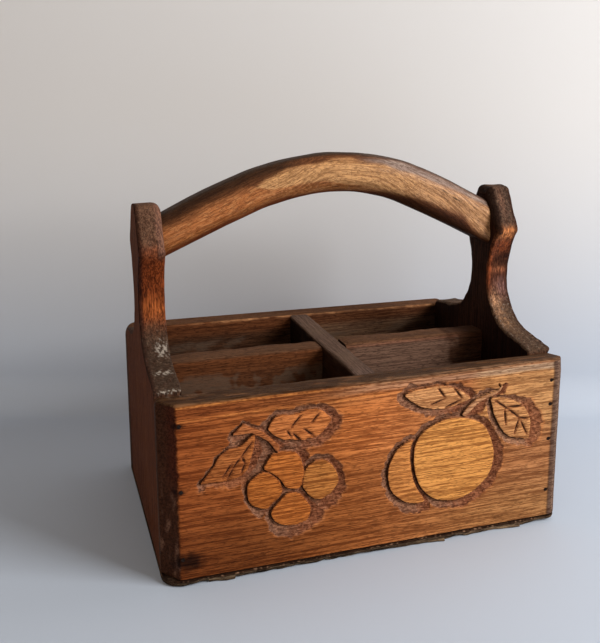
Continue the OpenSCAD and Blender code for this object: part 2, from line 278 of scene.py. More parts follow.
rough = calc(patina, "SUBTRACT", taken.outputs["Gloss"], calc(patina, "MULTIPLY", taken.outputs["Polish"], 0.35))
rough = calc(patina, "ADD", rough, swing(patina, blotches, 0.25))
patina.links.new(calc(patina, "ADD", rough, calc(patina, "MULTIPLY", dusty, 0.2)), given.inputs["Roughness"])

GRAIN_TURN = {"X": (0, 0, 0), "Y": (0, 0, -math.pi / 2), "Z": (0, math.pi / 2, 0)}


def oiled_wood(name, along, light, dark, pore, worn, dusty=(0.12, 0.08, 0.055), grimy_shaded=(0.016, 0.007, 0.004),
               roughness=0.6, pore_strength=0.7, relief=0.00022, specular=0.04):
    """Material of one old oiled board: grain along X, Y or Z, or along the piece's own path, times the
    painted tint, then the patina. Colours are linear."""
    material = bpy.data.materials.new(name)
    material.use_nodes = True
    tree = material.node_tree
    surface = tree.nodes["Principled BSDF"]
    if along == "path":
        place = put(tree, "ShaderNodeAttribute", attribute_name="path").outputs["Vector"]
    else:
        own = put(tree, "ShaderNodeTexCoord").outputs["Object"]
        place = put(tree, "ShaderNodeMapping", {"Vector": own, "Rotation": GRAIN_TURN[along]}).outputs["Vector"]
    plank = put(tree, "ShaderNodeGroup", node_tree=grain)
    old = put(tree, "ShaderNodeGroup", node_tree=patina)
    tree.links.new(place, plank.inputs["Vector"])
    tree.links.new(place, old.inputs["Vector"])
    for socket, value in (("Light", light), ("Dark", dark), ("Pore", pore)):
        plank.inputs[socket].default_value = (*value, 1)
    plank.inputs["Pore Strength"].default_value = pore_strength
    for socket, value in (("Worn", worn), ("Dusty", dusty), ("Grimy And Shaded", grimy_shaded)):
        old.inputs[socket].default_value = (*value, 1)
    old.inputs["Gloss"].default_value = roughness
    for socket, mask in (("Wear", "wear"), ("Dust", "dust"), ("Grime And Shade", "grime"), ("Polish", "polish")):
        tree.links.new(put(tree, "ShaderNodeAttribute", attribute_name=mask).outputs["Fac"], old.inputs[socket])
    tint = put(tree, "ShaderNodeAttribute", attribute_name="tint").outputs["Color"]
    tree.links.new(mixed(tree, 1.0, plank.outputs["Color"], tint, "MULTIPLY"), old.inputs["Color"])
    tree.links.new(old.outputs["Color"], surface.inputs["Base Color"])
    tree.links.new(old.outputs["Roughness"], surface.inputs["Roughness"])
    bump = put(tree, "ShaderNodeBump", {"Height": plank.outputs["Height"], "Strength": 0.6, "Distance": relief})
    tree.links.new(bump.outputs["Normal"], surface.inputs["Normal"])
    surface.inputs["Specular IOR Level"].default_value = specular
    return material


def settle(piece, material, node):
    """Gives the piece its material and the record's slot, and puts it in its CAD node's place."""
    piece.data.materials.append(material)
    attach(piece, "root")
    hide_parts(node)


# Slivers along the front: where each starts to split off, where its free tip is, and how far that stands out
slivers = ((-113.0, -95.0, 1.6), (14.0, 52.0, 2.4), (92.0, 111.5, 2.2))
x = stations(0.8)
lost = np.clip(0.9 * wander(x, 3, 150, 24) + 0.3, 0, 1.5) + np.clip(0.4 * wander(x, 4, 20, 5), 0, 0.5)
flake = sum(out * np.clip((x - start) / (tip - start), 0, 1) * (x < tip) for start, tip, out in slivers)
section = rounded_section(foot_cut(x) - half_d, half_d - back_cut(x), 0.3, floor_top, (0.7, 0.7, 0.5, 0.5),
                          even_shares(8), even_shares(9), on_arc=2)
y, z = section[..., 0], section[..., 1]
wide = x[:, None] + 0 * y
front = ramp(y, -half_d + 18, -half_d + 1.5) * (y < 0)
low_edge = 1 - np.clip(z / floor_top, 0, 1)
fibre = mottle(wide / 14, z, 7, 3.2, 0.8)
teeth = mottle(wide, z / 2.5, 8, 5.0, 1.3)
z = z + front * low_edge * (lost * (flake < 0.1))[:, None]
split = (flake[:, None] - 0.3) * ramp(low_edge, 0.55, 0.8)
y = y + front * (0.5 + 0.3 * wander(x, 5, 90, 9)[:, None] + 0.28 * fibre - split)
bottom = skin("bottom_board_sawn", np.stack([swollen(wide), y, z], -1))
edge = np.maximum(ramp(np.abs(y), half_d - 4, half_d - 1.6), ramp(np.abs(wide), half_w - 3, half_w - 1))
under_lip = edge * ramp(low_edge, 0.35, 0.55)
tan = (1.0 + 0.9 * ramp(wide, 20, 90))[..., None] * np.array((1.0, 1.15, 1.15))
paint(bottom,
      blended(untinted(y),
              (edge, (0.55, 0.45, 0.4)), (edge * (1 - under_lip) * ramp(teeth, 0.5, 1.1), (3.2, 3.0, 2.9)),
              (under_lip, tan), (0.9 * under_lip * ramp(fibre, 0.2, 1.0), 2.6 * tan),
              (0.9 * under_lip * ramp(fibre, -0.2, -0.9), 0.2 * tan),
              (under_lip * (flake[:, None] > 0.25), 1.6 * tan)),
      dust=0.2 * (1 - edge), grime=0.9 * edge * ramp(z, 3.9, 4.7))
settle(bottom, oiled_wood("sawn board", "X", (0.085, 0.05, 0.03), (0.03, 0.016, 0.01), (0.012, 0.006, 0.004),
                          (0.3, 0.23, 0.16), (0.09, 0.06, 0.042), roughness=0.85, relief=0.0005),
       "bottom_board")

# End boards
# Two boards between the panels, sawn to shape: shoulders climb to a narrow neck and a six-sided head
# that holds the handle. Hands have polished the neck to a red glow, on the left board brightened by a painted warm
# reflection, and left the foot scuffed.
end_t, panel_t = 16.0, 20.0
inner_x, inner_y = half_w - end_t, half_d - panel_t
neck_z, neck_half = 162.55, 13.0
head_z, head_top_z, head_top_half = 200.5, 231.5, 8.5
shoulder_r, head_hollow_r, shoulder_slope, foot_z = 35.0, 62.0, 9.0, 123.0
outer_edge_r, inner_edge_r, head_edge_wear = 1.5, 2.0, 3.4
outline_step = 1.4


def arc(centre_y, centre_z, radius, start, stop, count=40):
    """Points of a circle from one angle to another, in degrees."""
    angle = np.radians(np.linspace(start, stop, count))
    return np.stack([centre_y + radius * np.cos(angle), centre_z + radius * np.sin(angle)], -1)


def run_of(line):
    """Length along a line up to each of its points."""
    return np.concatenate([[0], np.hypot(*np.diff(line, axis=0).T).cumsum()])


def evenly(loop, count, soften=5):
    """A closed line, whose last point is its first again, cut into count equal lengths, with corners
    softened by averaging each point with its neighbours."""
    length = run_of(loop)
    even = np.linspace(0, length[-1], count + 1)[:-1]
    even = np.stack([np.interp(even, length, loop[:, k]) for k in (0, 1)], -1)
    return sum(np.roll(even, k, 0) for k in range(-(soften // 2), soften // 2 + 1)) / soften


def end_outline():
    """Outline of an end board, |y| against z: foot, sloping shoulder, the hollow to the neck, the hollow
    to the head, the head's taper and its flat top, mirrored, evenly resampled, with softened corners."""
    hollow_end = 180 - math.degrees(math.asin((head_z - neck_z) / head_hollow_r))
    half = np.concatenate([
        [(0.0, floor_top), (inner_y, floor_top), (inner_y, foot_z)],
        arc(neck_half + shoulder_r, neck_z, shoulder_r, 270 - shoulder_slope, 180),
        arc(neck_half + head_hollow_r, neck_z, head_hollow_r, 180, hollow_end),
        [(head_top_half, head_top_z), (0.0, head_top_z)]])
    loop = np.concatenate([half, half[::-1][1:-1] * (-1, 1)])
    loop = np.concatenate([loop, loop[:1]])
    return evenly(loop, int(run_of(loop)[-1] / outline_step))


def end_board(name, side, seed, top_drop, out_by, in_by, scuff, tints, edge_sheen_shade, patches, chips):
    """Outline carried across the board's thickness: near each face it is drawn in along its own normals
    by a quarter circle whose radius wanders along the edge. Above the foot, top_drop wears the head's top
    lower, out_by moves the outer side out and in_by the inner side in. Tints are those of the outer face,
    head, neck and foot, edge_sheen_shade that of the head's worn inner edge, which is painted light: a
    painted sheen where the edge faces the light and a painted shade where it faces away. Scuff is how
    strongly bare specks show on head and foot. A patch has a height and its reach, a place across the
    thickness and its reach, and a tint. A chip is a pale scuff given in the same way, but by the distance
    from the middle."""
    outline = end_outline()
    tangent = np.roll(outline, -1, 0) - np.roll(outline, 1, 0)
    normal = np.stack([tangent[:, 1], -tangent[:, 0]], -1) / np.hypot(*tangent.T)[:, None]
    run = np.arange(len(outline)) * outline_step
    above = ramp(outline[:, 1], foot_z - 5, foot_z)
    r_out, r_in = (0.5 + above * (r - 0.5 + 0.45 * wander(run, seed, 90, 9)) for r in (outer_edge_r, inner_edge_r))
    r_in = r_in + head_edge_wear * ramp(outline[:, 1], head_z - 6, head_z + 5)
    turn = np.linspace(np.pi / 2, 0, 6)[:, None]
    share = np.linspace(0, 1, 24)[1:-1, None]
    across = np.concatenate([r_out * (1 - np.sin(turn)), r_out + (end_t - r_in - r_out) * share,
                             end_t - r_in * (1 - np.sin(turn[::-1]))])
    inset = np.concatenate([r_out * (1 - np.cos(turn)), 0 * share * r_out, r_in * (1 - np.cos(turn[::-1]))])
    across, inset = (np.concatenate([v[:1], v, v[-1:]]) for v in (across, inset))
    inset[[0, -1]] += 1.2
    y, z = (outline[:, k] - normal[:, k] * inset for k in (0, 1))
    sway = 0.3 * mottle(run + 0 * inset, 1.6 * across, seed + 1, 70, 12) * above
    y, z = y + normal[:, 0] * sway, z + normal[:, 1] * sway
    z = z - top_drop * ramp(z, 212, head_top_z)
    further_out = out_by * ramp(across, 14, 0) * (1 + 0.3 * ramp(z, 150, foot_z))
    further_in = in_by * ramp(across, 2, 14)
    x = side * (half_w - across + above * (further_out - further_in))
    piece = skin(name, np.stack([x, y, z], -1))

    face = np.zeros_like(y)
    face[[0, 1, -2, -1]] = 1
    inner_face = face * (across > end_t / 2)
    up = above * (1 - face)
    fleck = mottle(2.2 * across, run / 1.6 + 0 * across, seed + 2, 10, 2.2)
    grit = mottle(across, run + 0 * across, seed + 3, 6, 1.8)
    neck = up * ramp(z, 140, 158) * ramp(z, 208, 196)
    head = up * ramp(z, 196, 206)
    foot = up * ramp(z, 158, 140)
    outer_tint, head_tint, neck_tint, foot_tint = tints
    # The inner face is painted darker, and darker still lower down: painted shade inside the tray.
    tint = blended(untinted(y), (face, outer_tint), (inner_face, (0.48, 0.42, 0.4)),
                   (inner_face * ramp(z, 158, 122), (0.19, 0.15, 0.14)),
                   (head, head_tint), (foot, foot_tint), (neck, neck_tint))
    for height, tall, place, wide, colour in patches:
        spot = up * bump_at(z, height, tall) * bump_at(across, place, wide)
        tint = blended(tint, (spot * (0.4 + 0.6 * ramp(fleck, -0.6, 0.6)), colour))
    tint = blended(tint, (0.6 * up * ramp(fleck, -0.5, -1.3), (0.6, 0.42, 0.38)),
                   (0.85 * up * ramp(across, 3.4, 1.6), (0.42, 0.32, 0.32)),
                   (0.7 * (head + foot) * ramp(grit, 0.7, 1.5), 2.4 * np.asarray(foot_tint)),
                   (0.4 * (head + foot) * ramp(grit, -0.5, -1.3), (0.4, 0.4, 0.4)),
                   # The head's worn inner edge: painted light, a sheen where it faces the light and a shade where it
                   # faces away.
                   (0.9 * up * ramp(z, head_z - 8, head_z) * ramp(across, end_t - 5.4, end_t - 4.4), edge_sheen_shade))
    pale = sum(bump_at(y, middle, tall) * bump_at(across, place, wide) for middle, tall, place, wide in chips)
    chipped = up * pale * (0.3 + 0.7 * ramp(grit, -0.5, 0.7)) * ramp(z, 156, 146)
    rubbed = scuff * (foot + 0.5 * head) * ramp(grit, -0.6, 0.9)
    paint(piece, tint, wear=np.maximum(chipped, rubbed), dust=0.2 * head + 0.3 * foot,
          grime=0.25 * foot * ramp(grit, -0.2, -1.0), polish=0.7 * neck)
    return piece


end_wood = oiled_wood("end board wood", "Z", (0.112, 0.047, 0.0255), (0.04, 0.0155, 0.0088), (0.018, 0.0075, 0.005),
                      (0.36, 0.31, 0.26), (0.12, 0.085, 0.062), roughness=0.75)
settle(end_board(
    "left_end_board", side=-1, seed=21, top_drop=2.0, out_by=0.0, in_by=2.0, scuff=0.24,
    # On the left board the head's worn inner edge and the patch at 222 mm on it are a painted sheen; the neck's red
    # glow, with its bright patch at 160 mm, is partly a painted warm reflection.
    tints=((1.5, 1.08, 0.72), (1.7, 2.06, 2.2), (1.95, 1.02, 0.53), (0.68, 0.95, 1.1)), edge_sheen_shade=(2.2, 2.5, 2.9),
    patches=((160.0, 9.0, 9.5, 9.0, (5.6, 3.7, 1.7)), (182.0, 16.0, 11.0, 6.0, (2.5, 1.3, 0.6)),
             (200.0, 4.0, 9.0, 7.0, (3.0, 2.3, 1.8)), (170.0, 34.0, 0.5, 3.2, (0.6, 0.32, 0.25)),
             (146.0, 6.0, 9.0, 7.0, (1.2, 1.3, 1.2)), (222.0, 16.0, 14.0, 3.0, (2.0, 2.4, 2.9))),
    chips=((-27.0, 7.0, 11.0, 4.6), (-50.5, 4.5, 8.5, 6.5), (-73.0, 2.2, 9.0, 8.0))),
    end_wood, "left_end")
settle(end_board(
    "right_end_board", side=1, seed=31, top_drop=0.0, out_by=2.0, in_by=0.0, scuff=0.4,
    # On the right board the head's worn inner edge is a painted shade; among the patches, the blue grey one at 154 mm
    # is a painted sheen and the pale one at 167.5 mm a painted highlight.
    tints=((1.5, 1.3, 1.1), (0.95, 1.3, 1.6), (1.15, 0.95, 0.85), (0.95, 1.3, 1.45)), edge_sheen_shade=(0.2, 0.17, 0.17),
    patches=((198.0, 4.2, 6.0, 9.0, (11.0, 9.5, 5.8)), (187.0, 6.0, 7.0, 7.0, (3.6, 2.0, 1.1)),
             (176.0, 7.0, 5.0, 7.5, (0.25, 0.2, 0.2)), (167.5, 2.6, 7.0, 6.0, (5.2, 4.3, 3.4)),
             (168.0, 16.0, 14.2, 1.9, (3.7, 2.1, 1.2)), (154.0, 8.0, 5.0, 5.0, (2.6, 3.1, 4.8)),
             (222.0, 12.0, 8.0, 2.0, (2.5, 3.0, 3.4)), (143.0, 8.0, 11.5, 4.0, (6.4, 8.0, 7.8)),
             (132.0, 4.0, 10.0, 4.0, (3.6, 4.6, 4.4))),
    chips=()), end_wood, "right_end")

# Long divider
# One board along the tray, its ends housed in the end boards. It is slotted from above at its middle,
# and the slot has worn open on its right side. Its top edge is rounded by use.
rim_z = 120.0
long_half_t, long_end, long_top, lap_z = 9.0, 126.8, 119.0, 62.5
slot_left, slot_right, slot_lean = -7.7, 10.7, 0.4
x = np.unique(np.round(np.concatenate([
    np.linspace(-long_end, slot_left - 1, 130), np.linspace(slot_right + 1, long_end, 130),
    [slot_left - 0.5, slot_left, slot_left + slot_lean, slot_right - slot_lean, slot_right, slot_right + 0.5]]), 3))
open_slot = (x > slot_left + slot_lean / 2) & (x < slot_right - slot_lean / 2)
chip = (0.6 * ramp(x, slot_right + 4, slot_right) * (x >= slot_right)
        + 0.8 * ramp(x, slot_left - 5, slot_left) * (x <= slot_left))
top = np.where(open_slot, lap_z, long_top - chip + 0.3 * wander(x, 41, 130, 25))
worn_r = np.where(open_slot, 0.3, 2.2 + 0.6 * wander(x, 42, 80, 12))
section = rounded_section(-long_half_t + 0 * x, long_half_t, floor_top, top, (0.3, 0.3, worn_r, worn_r + 0.8),
                          even_shares(6), 1 - (1 - even_shares(70)) ** 1.3)
y, z = section[..., 0], section[..., 1]
wide = x[:, None] + 0 * y
y = y + 0.2 * mottle(wide, z, 43, 90, 25) * np.sign(y)
long_divider = skin("long_divider_board", np.stack([wide, y, z], -1))
patch = mottle(wide, 1.8 * z, 44, 90, 12) + 0.4 * mottle(wide, z, 45, 16, 7) + 0.25 * mottle(wide, z, 46, 6, 4)
top_face = ramp(z, long_top - 2.4, long_top - 0.8)
front = ramp(y, 0, -long_half_t + 1) * (1 - top_face)
arris = front * ramp(z, long_top - 4.5, long_top - 2) * (1 - ramp(z, long_top - 1.0, long_top - 0.2))
dusty_part = ramp(patch + 0.025 * (108 - z) - 0.006 * wide, -0.2, 1.2) * ramp(z, long_top - 6, long_top - 18)
paint(long_divider,
      blended(untinted(y),
              (1 - top_face, (0.82, 0.66, 0.56)), (front * ramp(wide, 5, 20), (1.35, 1.65, 2.25)),
              (0.8 * arris * ramp(wide, 8, 18), (1.9, 1.75, 2.0)),
              (front * ramp(z, 100, 113) * ramp(wide, 0, -20), (1.15, 0.85, 0.62)),
              # Darker towards both ends, by the end boards; darker again from about 97 mm to the right, a painted
              # shadow of the right end board; and a wedge on the front left of the cross divider, its painted shadow.
              (0.8 * ramp(np.abs(wide), 112, 126), (0.4, 0.35, 0.35)),
              (0.85 * ramp(wide + 5 * patch, 91, 103), (0.42, 0.33, 0.29)),
              (0.8 * front * (wide < 0) * ramp(wide + 0.55 * (long_top - z), -6, 16), (0.22, 0.18, 0.16))),
      wear=0.3 * arris * ramp(patch, -0.6, 0.8),
      dust=0.8 * dusty_part * (wide < 0) + 0.35 * dusty_part * (wide > 0) + 0.25 * top_face,
      grime=np.maximum(0.45 * ramp(z, 70, 25), ramp(np.abs(wide - (slot_left + slot_right) / 2), 9.6, 9.25)))
divider_look = dict(light=(0.14, 0.064, 0.0315), dark=(0.073, 0.032, 0.016), pore=(0.03, 0.013, 0.007),
                    worn=(0.27, 0.15, 0.085), dusty=(0.13, 0.085, 0.058), roughness=0.75)
settle(long_divider, oiled_wood("long divider wood", "X", **divider_look), "long_divider")

# Cross divider
# One board from front to back, slotted from below, that drops over the long one. Its top is flush with
# the rim, and its ends are housed in the panels.
cross_half_t, cross_end = 7.5, 76.8
lap_near, lap_wall, lap_inside = 9.3, 9.2, 8.9
y = np.unique(np.round(np.concatenate([
    np.linspace(-cross_end, -lap_near, 34), np.linspace(lap_near, cross_end, 34),
    [-lap_wall, -lap_inside, lap_inside, lap_wall]]), 3))
over_slot = np.abs(y) < (lap_wall + lap_inside) / 2
under = np.where(over_slot, lap_z, floor_top)
worn_r = 1.3 + 0.4 * wander(y, 51, 60, 9)
section = rounded_section(-cross_half_t + 0 * y, cross_half_t, under, rim_z - 0.2 + 0.2 * wander(y, 52, 140, 30),
                          (0.3, 0.3, worn_r, worn_r), even_shares(6), 1 - (1 - even_shares(26)) ** 1.3)
x, z = section[..., 0], section[..., 1]
deep = y[:, None] + 0 * x
x = x + 0.15 * mottle(deep, z, 53, 90, 25) * np.sign(x)
cross_divider = skin("cross_divider_board", np.stack([x, deep, z], -1))
patch = mottle(deep, 1.5 * z, 54, 70, 12)
top_face = ramp(z, rim_z - 2, rim_z - 0.6)
side_face = 1 - top_face
paint(cross_divider,
      blended(untinted(x),
              # The sides are darker than the top; the left side, turned away from the light, is painted shade, darkest
              # on its back half.
              (side_face, (0.7, 0.6, 0.55)), (side_face * (x < 0), (0.3, 0.24, 0.21)),
              (side_face * (x < 0) * (deep > 0), (0.12, 0.1, 0.09)),
              (top_face, (1.06, 1.4, 2.0)), (top_face * ramp(deep, -58, -70), (1.1, 1.5, 2.3))),
      wear=0.22 * ramp(z, rim_z - 3, rim_z - 1.5) * side_face, dust=0.2 * top_face + 0.3 * ramp(patch, 0.2, 1.2),
      grime=0.45 * ramp(z, 70, 25))
settle(cross_divider, oiled_wood("cross divider wood", "Y", **divider_look), "cross_divider")

# Front panel
# One board nailed over the ends of the two end boards, oiled to an orange brown. Two fruit sprays are
# carved in it: the ground is gouged away so that fruits, leaves and stems stand level with the face.
ear_right, ear_left, band_drop = 2.5, 3.0, 0.9
ground_deep, wall_w = 2.6, 0.8
nails = ((-128.0, 19.1), (-128.0, 64.2), (-128.0, 107.0),
         (131.0, 25.1), (131.0, 63.65), (131.0, 89.5), (131.0, 107.0))
# Raised shapes: tint of the wood, then the points that the cut follows round the shape
shapes = {
    "berry_top": ((2.05, 2.3, 2.05), (
        (-69.6, 80.6), (-72.9, 77), (-75.2, 72.7), (-74.3, 70.5), (-70.4, 68.2), (-66.5, 64.9), (-63.5, 61),
        (-60.9, 56.8), (-56.6, 55.4), (-51.9, 55.4), (-50.2, 60.6), (-49.2, 66), (-50.2, 71.6), (-51.9, 76.6),
        (-54.5, 79.7), (-59.1, 81.1), (-64.4, 81.5))),
    "berry_left": ((1.8, 2.0, 1.7), (
        (-85.7, 63.5), (-86.4, 58.2), (-85.8, 52.7), (-83.6, 48.6), (-79.8, 46.2), (-75.9, 44.8), (-73.2, 44.7),
        (-70.6, 47.1), (-67.3, 49.6), (-64.6, 52.3), (-63.6, 55.9), (-64.9, 60.2), (-67.1, 63.6), (-70.4, 66.8),
        (-74.3, 69.1), (-78.2, 68.7), (-82.1, 66.6))),
    "berry_right": ((1.95, 2.65, 2.7), (
        (-48.9, 64.6), (-47.2, 68.4), (-44.5, 70.4), (-41.1, 72), (-37.8, 72.2), (-34.4, 71.7), (-31, 68.7),
        (-28.2, 64.8), (-26.1, 60.3), (-25.7, 56.1), (-27.4, 52.5), (-30.5, 48.8), (-34.3, 46.6), (-37.7, 45.4),
        (-41.8, 46.1), (-44.5, 47.9), (-47.2, 51.5), (-49.6, 55), (-49.6, 59.8))),
    "berry_low": ((2.0, 2.25, 2.0), (
        (-71, 40.6), (-70, 43.2), (-67.3, 46.2), (-64.6, 48.8), (-61.9, 51.5), (-59.3, 52.8), (-55.3, 52.5),
        (-51.9, 51.2), (-49.6, 48.8), (-47.2, 45.2), (-45.2, 42.1), (-44.5, 38.9), (-45.6, 34.8), (-47.3, 32.3),
        (-50.6, 31.1), (-54.7, 30.4), (-59.4, 30.6), (-63.4, 31.6), (-66.7, 33.2), (-69.7, 36.5))),
    "leaf_left": ((1.7, 2.0, 2.3), (
        (-115.6, 67.6), (-113, 71.1), (-109.8, 75.3), (-106.9, 78.8), (-104.6, 83.1), (-101.5, 85.9), (-97.6, 88),
        (-93.2, 88.3), (-90, 89.2), (-86.8, 91.7), (-84.3, 94), (-81.7, 95), (-80.9, 92.5), (-81.6, 88.5),
        (-82.6, 84), (-84, 79.5), (-85.3, 75.2), (-87.2, 71.8), (-90.8, 69.4), (-95.5, 68.2), (-101.2, 67.6),
        (-108.7, 67.8))),
    "leaf_top": ((2.2, 2.65, 3.2), (
        (-72.3, 97.7), (-71.3, 100.8), (-69.4, 103.6), (-66.8, 105.5), (-62.9, 106), (-58.3, 105.4),
        (-53.7, 105.8), (-49.8, 106.7), (-45.8, 107.5), (-41.8, 107.3), (-38.5, 106.6), (-35.1, 104.1),
        (-30.7, 99.5), (-32.4, 96.3), (-35.1, 92.6), (-37.8, 90.3), (-41.2, 88.7), (-45.2, 88.2), (-49.8, 87.5),
        (-53.8, 88.1), (-58.4, 89.4), (-62.3, 89.6), (-66.2, 91.8), (-69.5, 94.3))),
    "twig": ((1.75, 2.1, 2.9), (
        (-88.5, 103.1), (-85.4, 101.4), (-81.6, 99.6), (-77.8, 97.7), (-74.6, 95.3), (-71.4, 92.2), (-68.2, 89.1),
        (-65.6, 85.7), (-65.3, 83.3), (-67.3, 82.3), (-69.2, 85.2), (-72.1, 89.3), (-75.9, 92.5), (-79.8, 94.7),
        (-82.9, 96.8), (-86.7, 97), (-91.2, 96.9), (-95, 97.1), (-92.4, 99.7))),
    "plum": ((2.7, 4.2, 4.6), (
        (28, 67), (28.6, 71.9), (30.3, 76.3), (33.1, 80.2), (36.7, 82.9), (41, 85.1), (45.4, 86.7), (50.5, 88.1),
        (55.7, 88.5), (61, 88.2), (66.3, 87.1), (71.7, 85.3), (76.3, 82.9), (80.3, 79.5), (83.2, 75.1),
        (85.3, 70.4), (87.1, 65.1), (88.1, 59.8), (88, 54.6), (87.1, 49.6), (85.3, 45), (82.8, 40.9), (79, 37.4),
        (74.5, 34), (69.2, 31.2), (63.9, 29.4), (57.8, 28.9), (51.7, 29.6), (45.6, 31.3), (40.3, 34.4),
        (35.7, 39.2), (32.2, 44.5), (29.9, 50.3), (28.5, 56.2), (27.9, 62.1))),
    "plum_behind": ((2.4, 3.4, 3.9), (
        (9.4, 57), (10.4, 61.8), (12.5, 66.5), (15.2, 70.7), (18.8, 73.7), (23.1, 75.9), (27, 76.4), (25.7, 72.4),
        (25, 68.2), (25.2, 62.5), (26.1, 55.9), (27.7, 48.4), (30.5, 41.8), (33.5, 36.6), (36.3, 31.8),
        (32.2, 30.6), (27, 31.5), (21.8, 33.4), (17.4, 36.7), (13.7, 40.2), (11.1, 44.6), (9.7, 50.5))),
    "leaf_side": ((2.7, 4.7, 8.0), (
        (20.5, 108.7), (23.7, 110.4), (28.7, 111.6), (33.7, 112), (39.5, 112.7), (43.9, 112.9), (49.8, 111.8),
        (55, 110.5), (60.3, 107.8), (64.9, 104.8), (68.4, 101.1), (63.6, 99.2), (58.4, 97.8), (53.2, 96.6),
        (47.3, 96.3), (41.4, 97.1), (36.3, 98.1), (31.1, 100.1), (26.7, 103.1), (23.1, 106))),
    "leaf_end": ((2.35, 3.95, 6.3), (
        (84.5, 98.1), (85.9, 92.9), (87.2, 87.6), (89.4, 83), (91.9, 78.3), (95.3, 73.5), (99, 70), (103.4, 68.3),
        (108.2, 67.3), (114.6, 66), (115.6, 70.7), (116.1, 76.6), (115, 81.9), (112.7, 86.6), (109.7, 90.6),
        (105.2, 93.7), (99.6, 96.2), (94.1, 98), (88.6, 99))),
    "plum_stem": ((2.15, 3.9, 8.2), (
        (62.8, 90.1), (65.3, 93.3), (68.9, 96.8), (72.6, 99.2), (77.8, 101), (83.1, 102.6), (88.4, 104.1),
        (92.9, 107.1), (91.1, 103.4), (86.2, 101.1), (81, 99.6), (75.7, 97.4), (71.3, 94), (67.7, 90.5),
        (64.7, 88.8))),
}
# Veins of the leaves, from end to end of each cut
veins = (
    ((-51.1, 104.2), (-57.1, 97.6)), ((-38.5, 104.5), (-43.8, 98.8)), ((-60, 95), (-57.4, 90.9)),
    ((-56.4, 93.2), (-51.5, 87.8)), ((-49.1, 95.2), (-42.5, 89.6)), ((-82.7, 90.8), (-89.9, 81.9)),
    ((-89.3, 81.6), (-87.6, 77.3)), ((-87.6, 77.3), (-89.9, 71.6)), ((-90.8, 81.1), (-95.4, 75.1)),
    ((-95.4, 75.1), (-98.7, 68.6)), ((-96.0, 78.5), (-101.8, 70.1)), ((44.6, 111), (49.6, 104.1)),
    ((56.5, 109.6), (62, 102.3)), ((49.3, 103.1), (39.1, 99.8)), ((61.3, 100.9), (50.2, 97)),
    ((88, 96.9), (98.4, 89.5)), ((98.4, 89.5), (107.4, 82.1)), ((95.3, 89.5), (96.6, 79.1)),
    ((106.7, 81.5), (103.7, 71.2)), ((108.3, 79.8), (113.7, 69.5)), ((97.5, 91.4), (109.3, 91)),
    ((106.6, 82.6), (113.8, 80.9)))
# Where the gouge ran wider or narrower: place on the face, by how much, where that fades out and is full
wider_ground = ((119, 84, 1.6, 24, 10), (-34, 38, 2.0, 14, 4), (16, 102, 1.6, 12, 3), (22, 28, 1.5, 16, 6),
                (-82, 78, 5.0, 22, 12), (94, 108, -3.4, 14, 4), (-110, 80, -2.6, 22, 12), (-90, 54, -1.8, 14, 6),
                (-64, 26, 2.6, 16, 6), (-20, 62, -2.0, 14, 6), (-104, 64, -1.5, 14, 6), (-94, 102, -2.2, 9, 4),
                (-83, 104, -2.0, 8, 3))


def to_outline(x, z, corners, reach=16.0):
    """Distance outside a smooth closed line through the given points, negative inside and at most reach: the
    nearest of its short straight parts, with the sign from the number of crossings to one side."""
    p = np.array(corners, float)
    before, after, later = np.roll(p, 1, 0), np.roll(p, -1, 0), np.roll(p, -2, 0)
    t = np.arange(0, 1, 0.25)[:, None, None]
    curve = (2 * p + (after - before) * t + (2 * before - 5 * p + 4 * after - later) * t ** 2
             + (3 * p - before - 3 * after + later) * t ** 3) / 2
    start = curve.transpose(1, 0, 2).reshape(-1, 2)
    stop = np.roll(start, -1, 0)
    near = ((x > p[:, 0].min() - reach) & (x < p[:, 0].max() + reach)
            & (z > p[:, 1].min() - reach) & (z < p[:, 1].max() + reach))
    point = np.stack([x[near], z[near]], -1)[:, None]
    run = stop - start
    share = np.clip(((point - start) * run).sum(-1) / (run * run).sum(-1), 0, 1)
    far = np.linalg.norm(point - start - share[..., None] * run, axis=-1).min(1)
    level = (start[:, 1] > point[..., 1]) != (stop[:, 1] > point[..., 1])
    slope = run[:, 0] / np.where(run[:, 1] == 0, 1e-9, run[:, 1])
    crossed = level & (point[..., 0] < start[:, 0] + (point[..., 1] - start[:, 1]) * slope)
    out = np.full(x.shape, reach)
    out[near] = np.minimum(far, reach) * np.where(crossed.sum(1) % 2, -1, 1)
    return out


def to_line(x, z, first, last):
    """Distance from a straight cut, and how far along it, from 0 to 1."""
    run = np.subtract(last, first)
    share = np.clip(((x - first[0]) * run[0] + (z - first[1]) * run[1]) / (run @ run), 0, 1)
    return np.hypot(x - first[0] - share * run[0], z - first[1] - share * run[1]), share


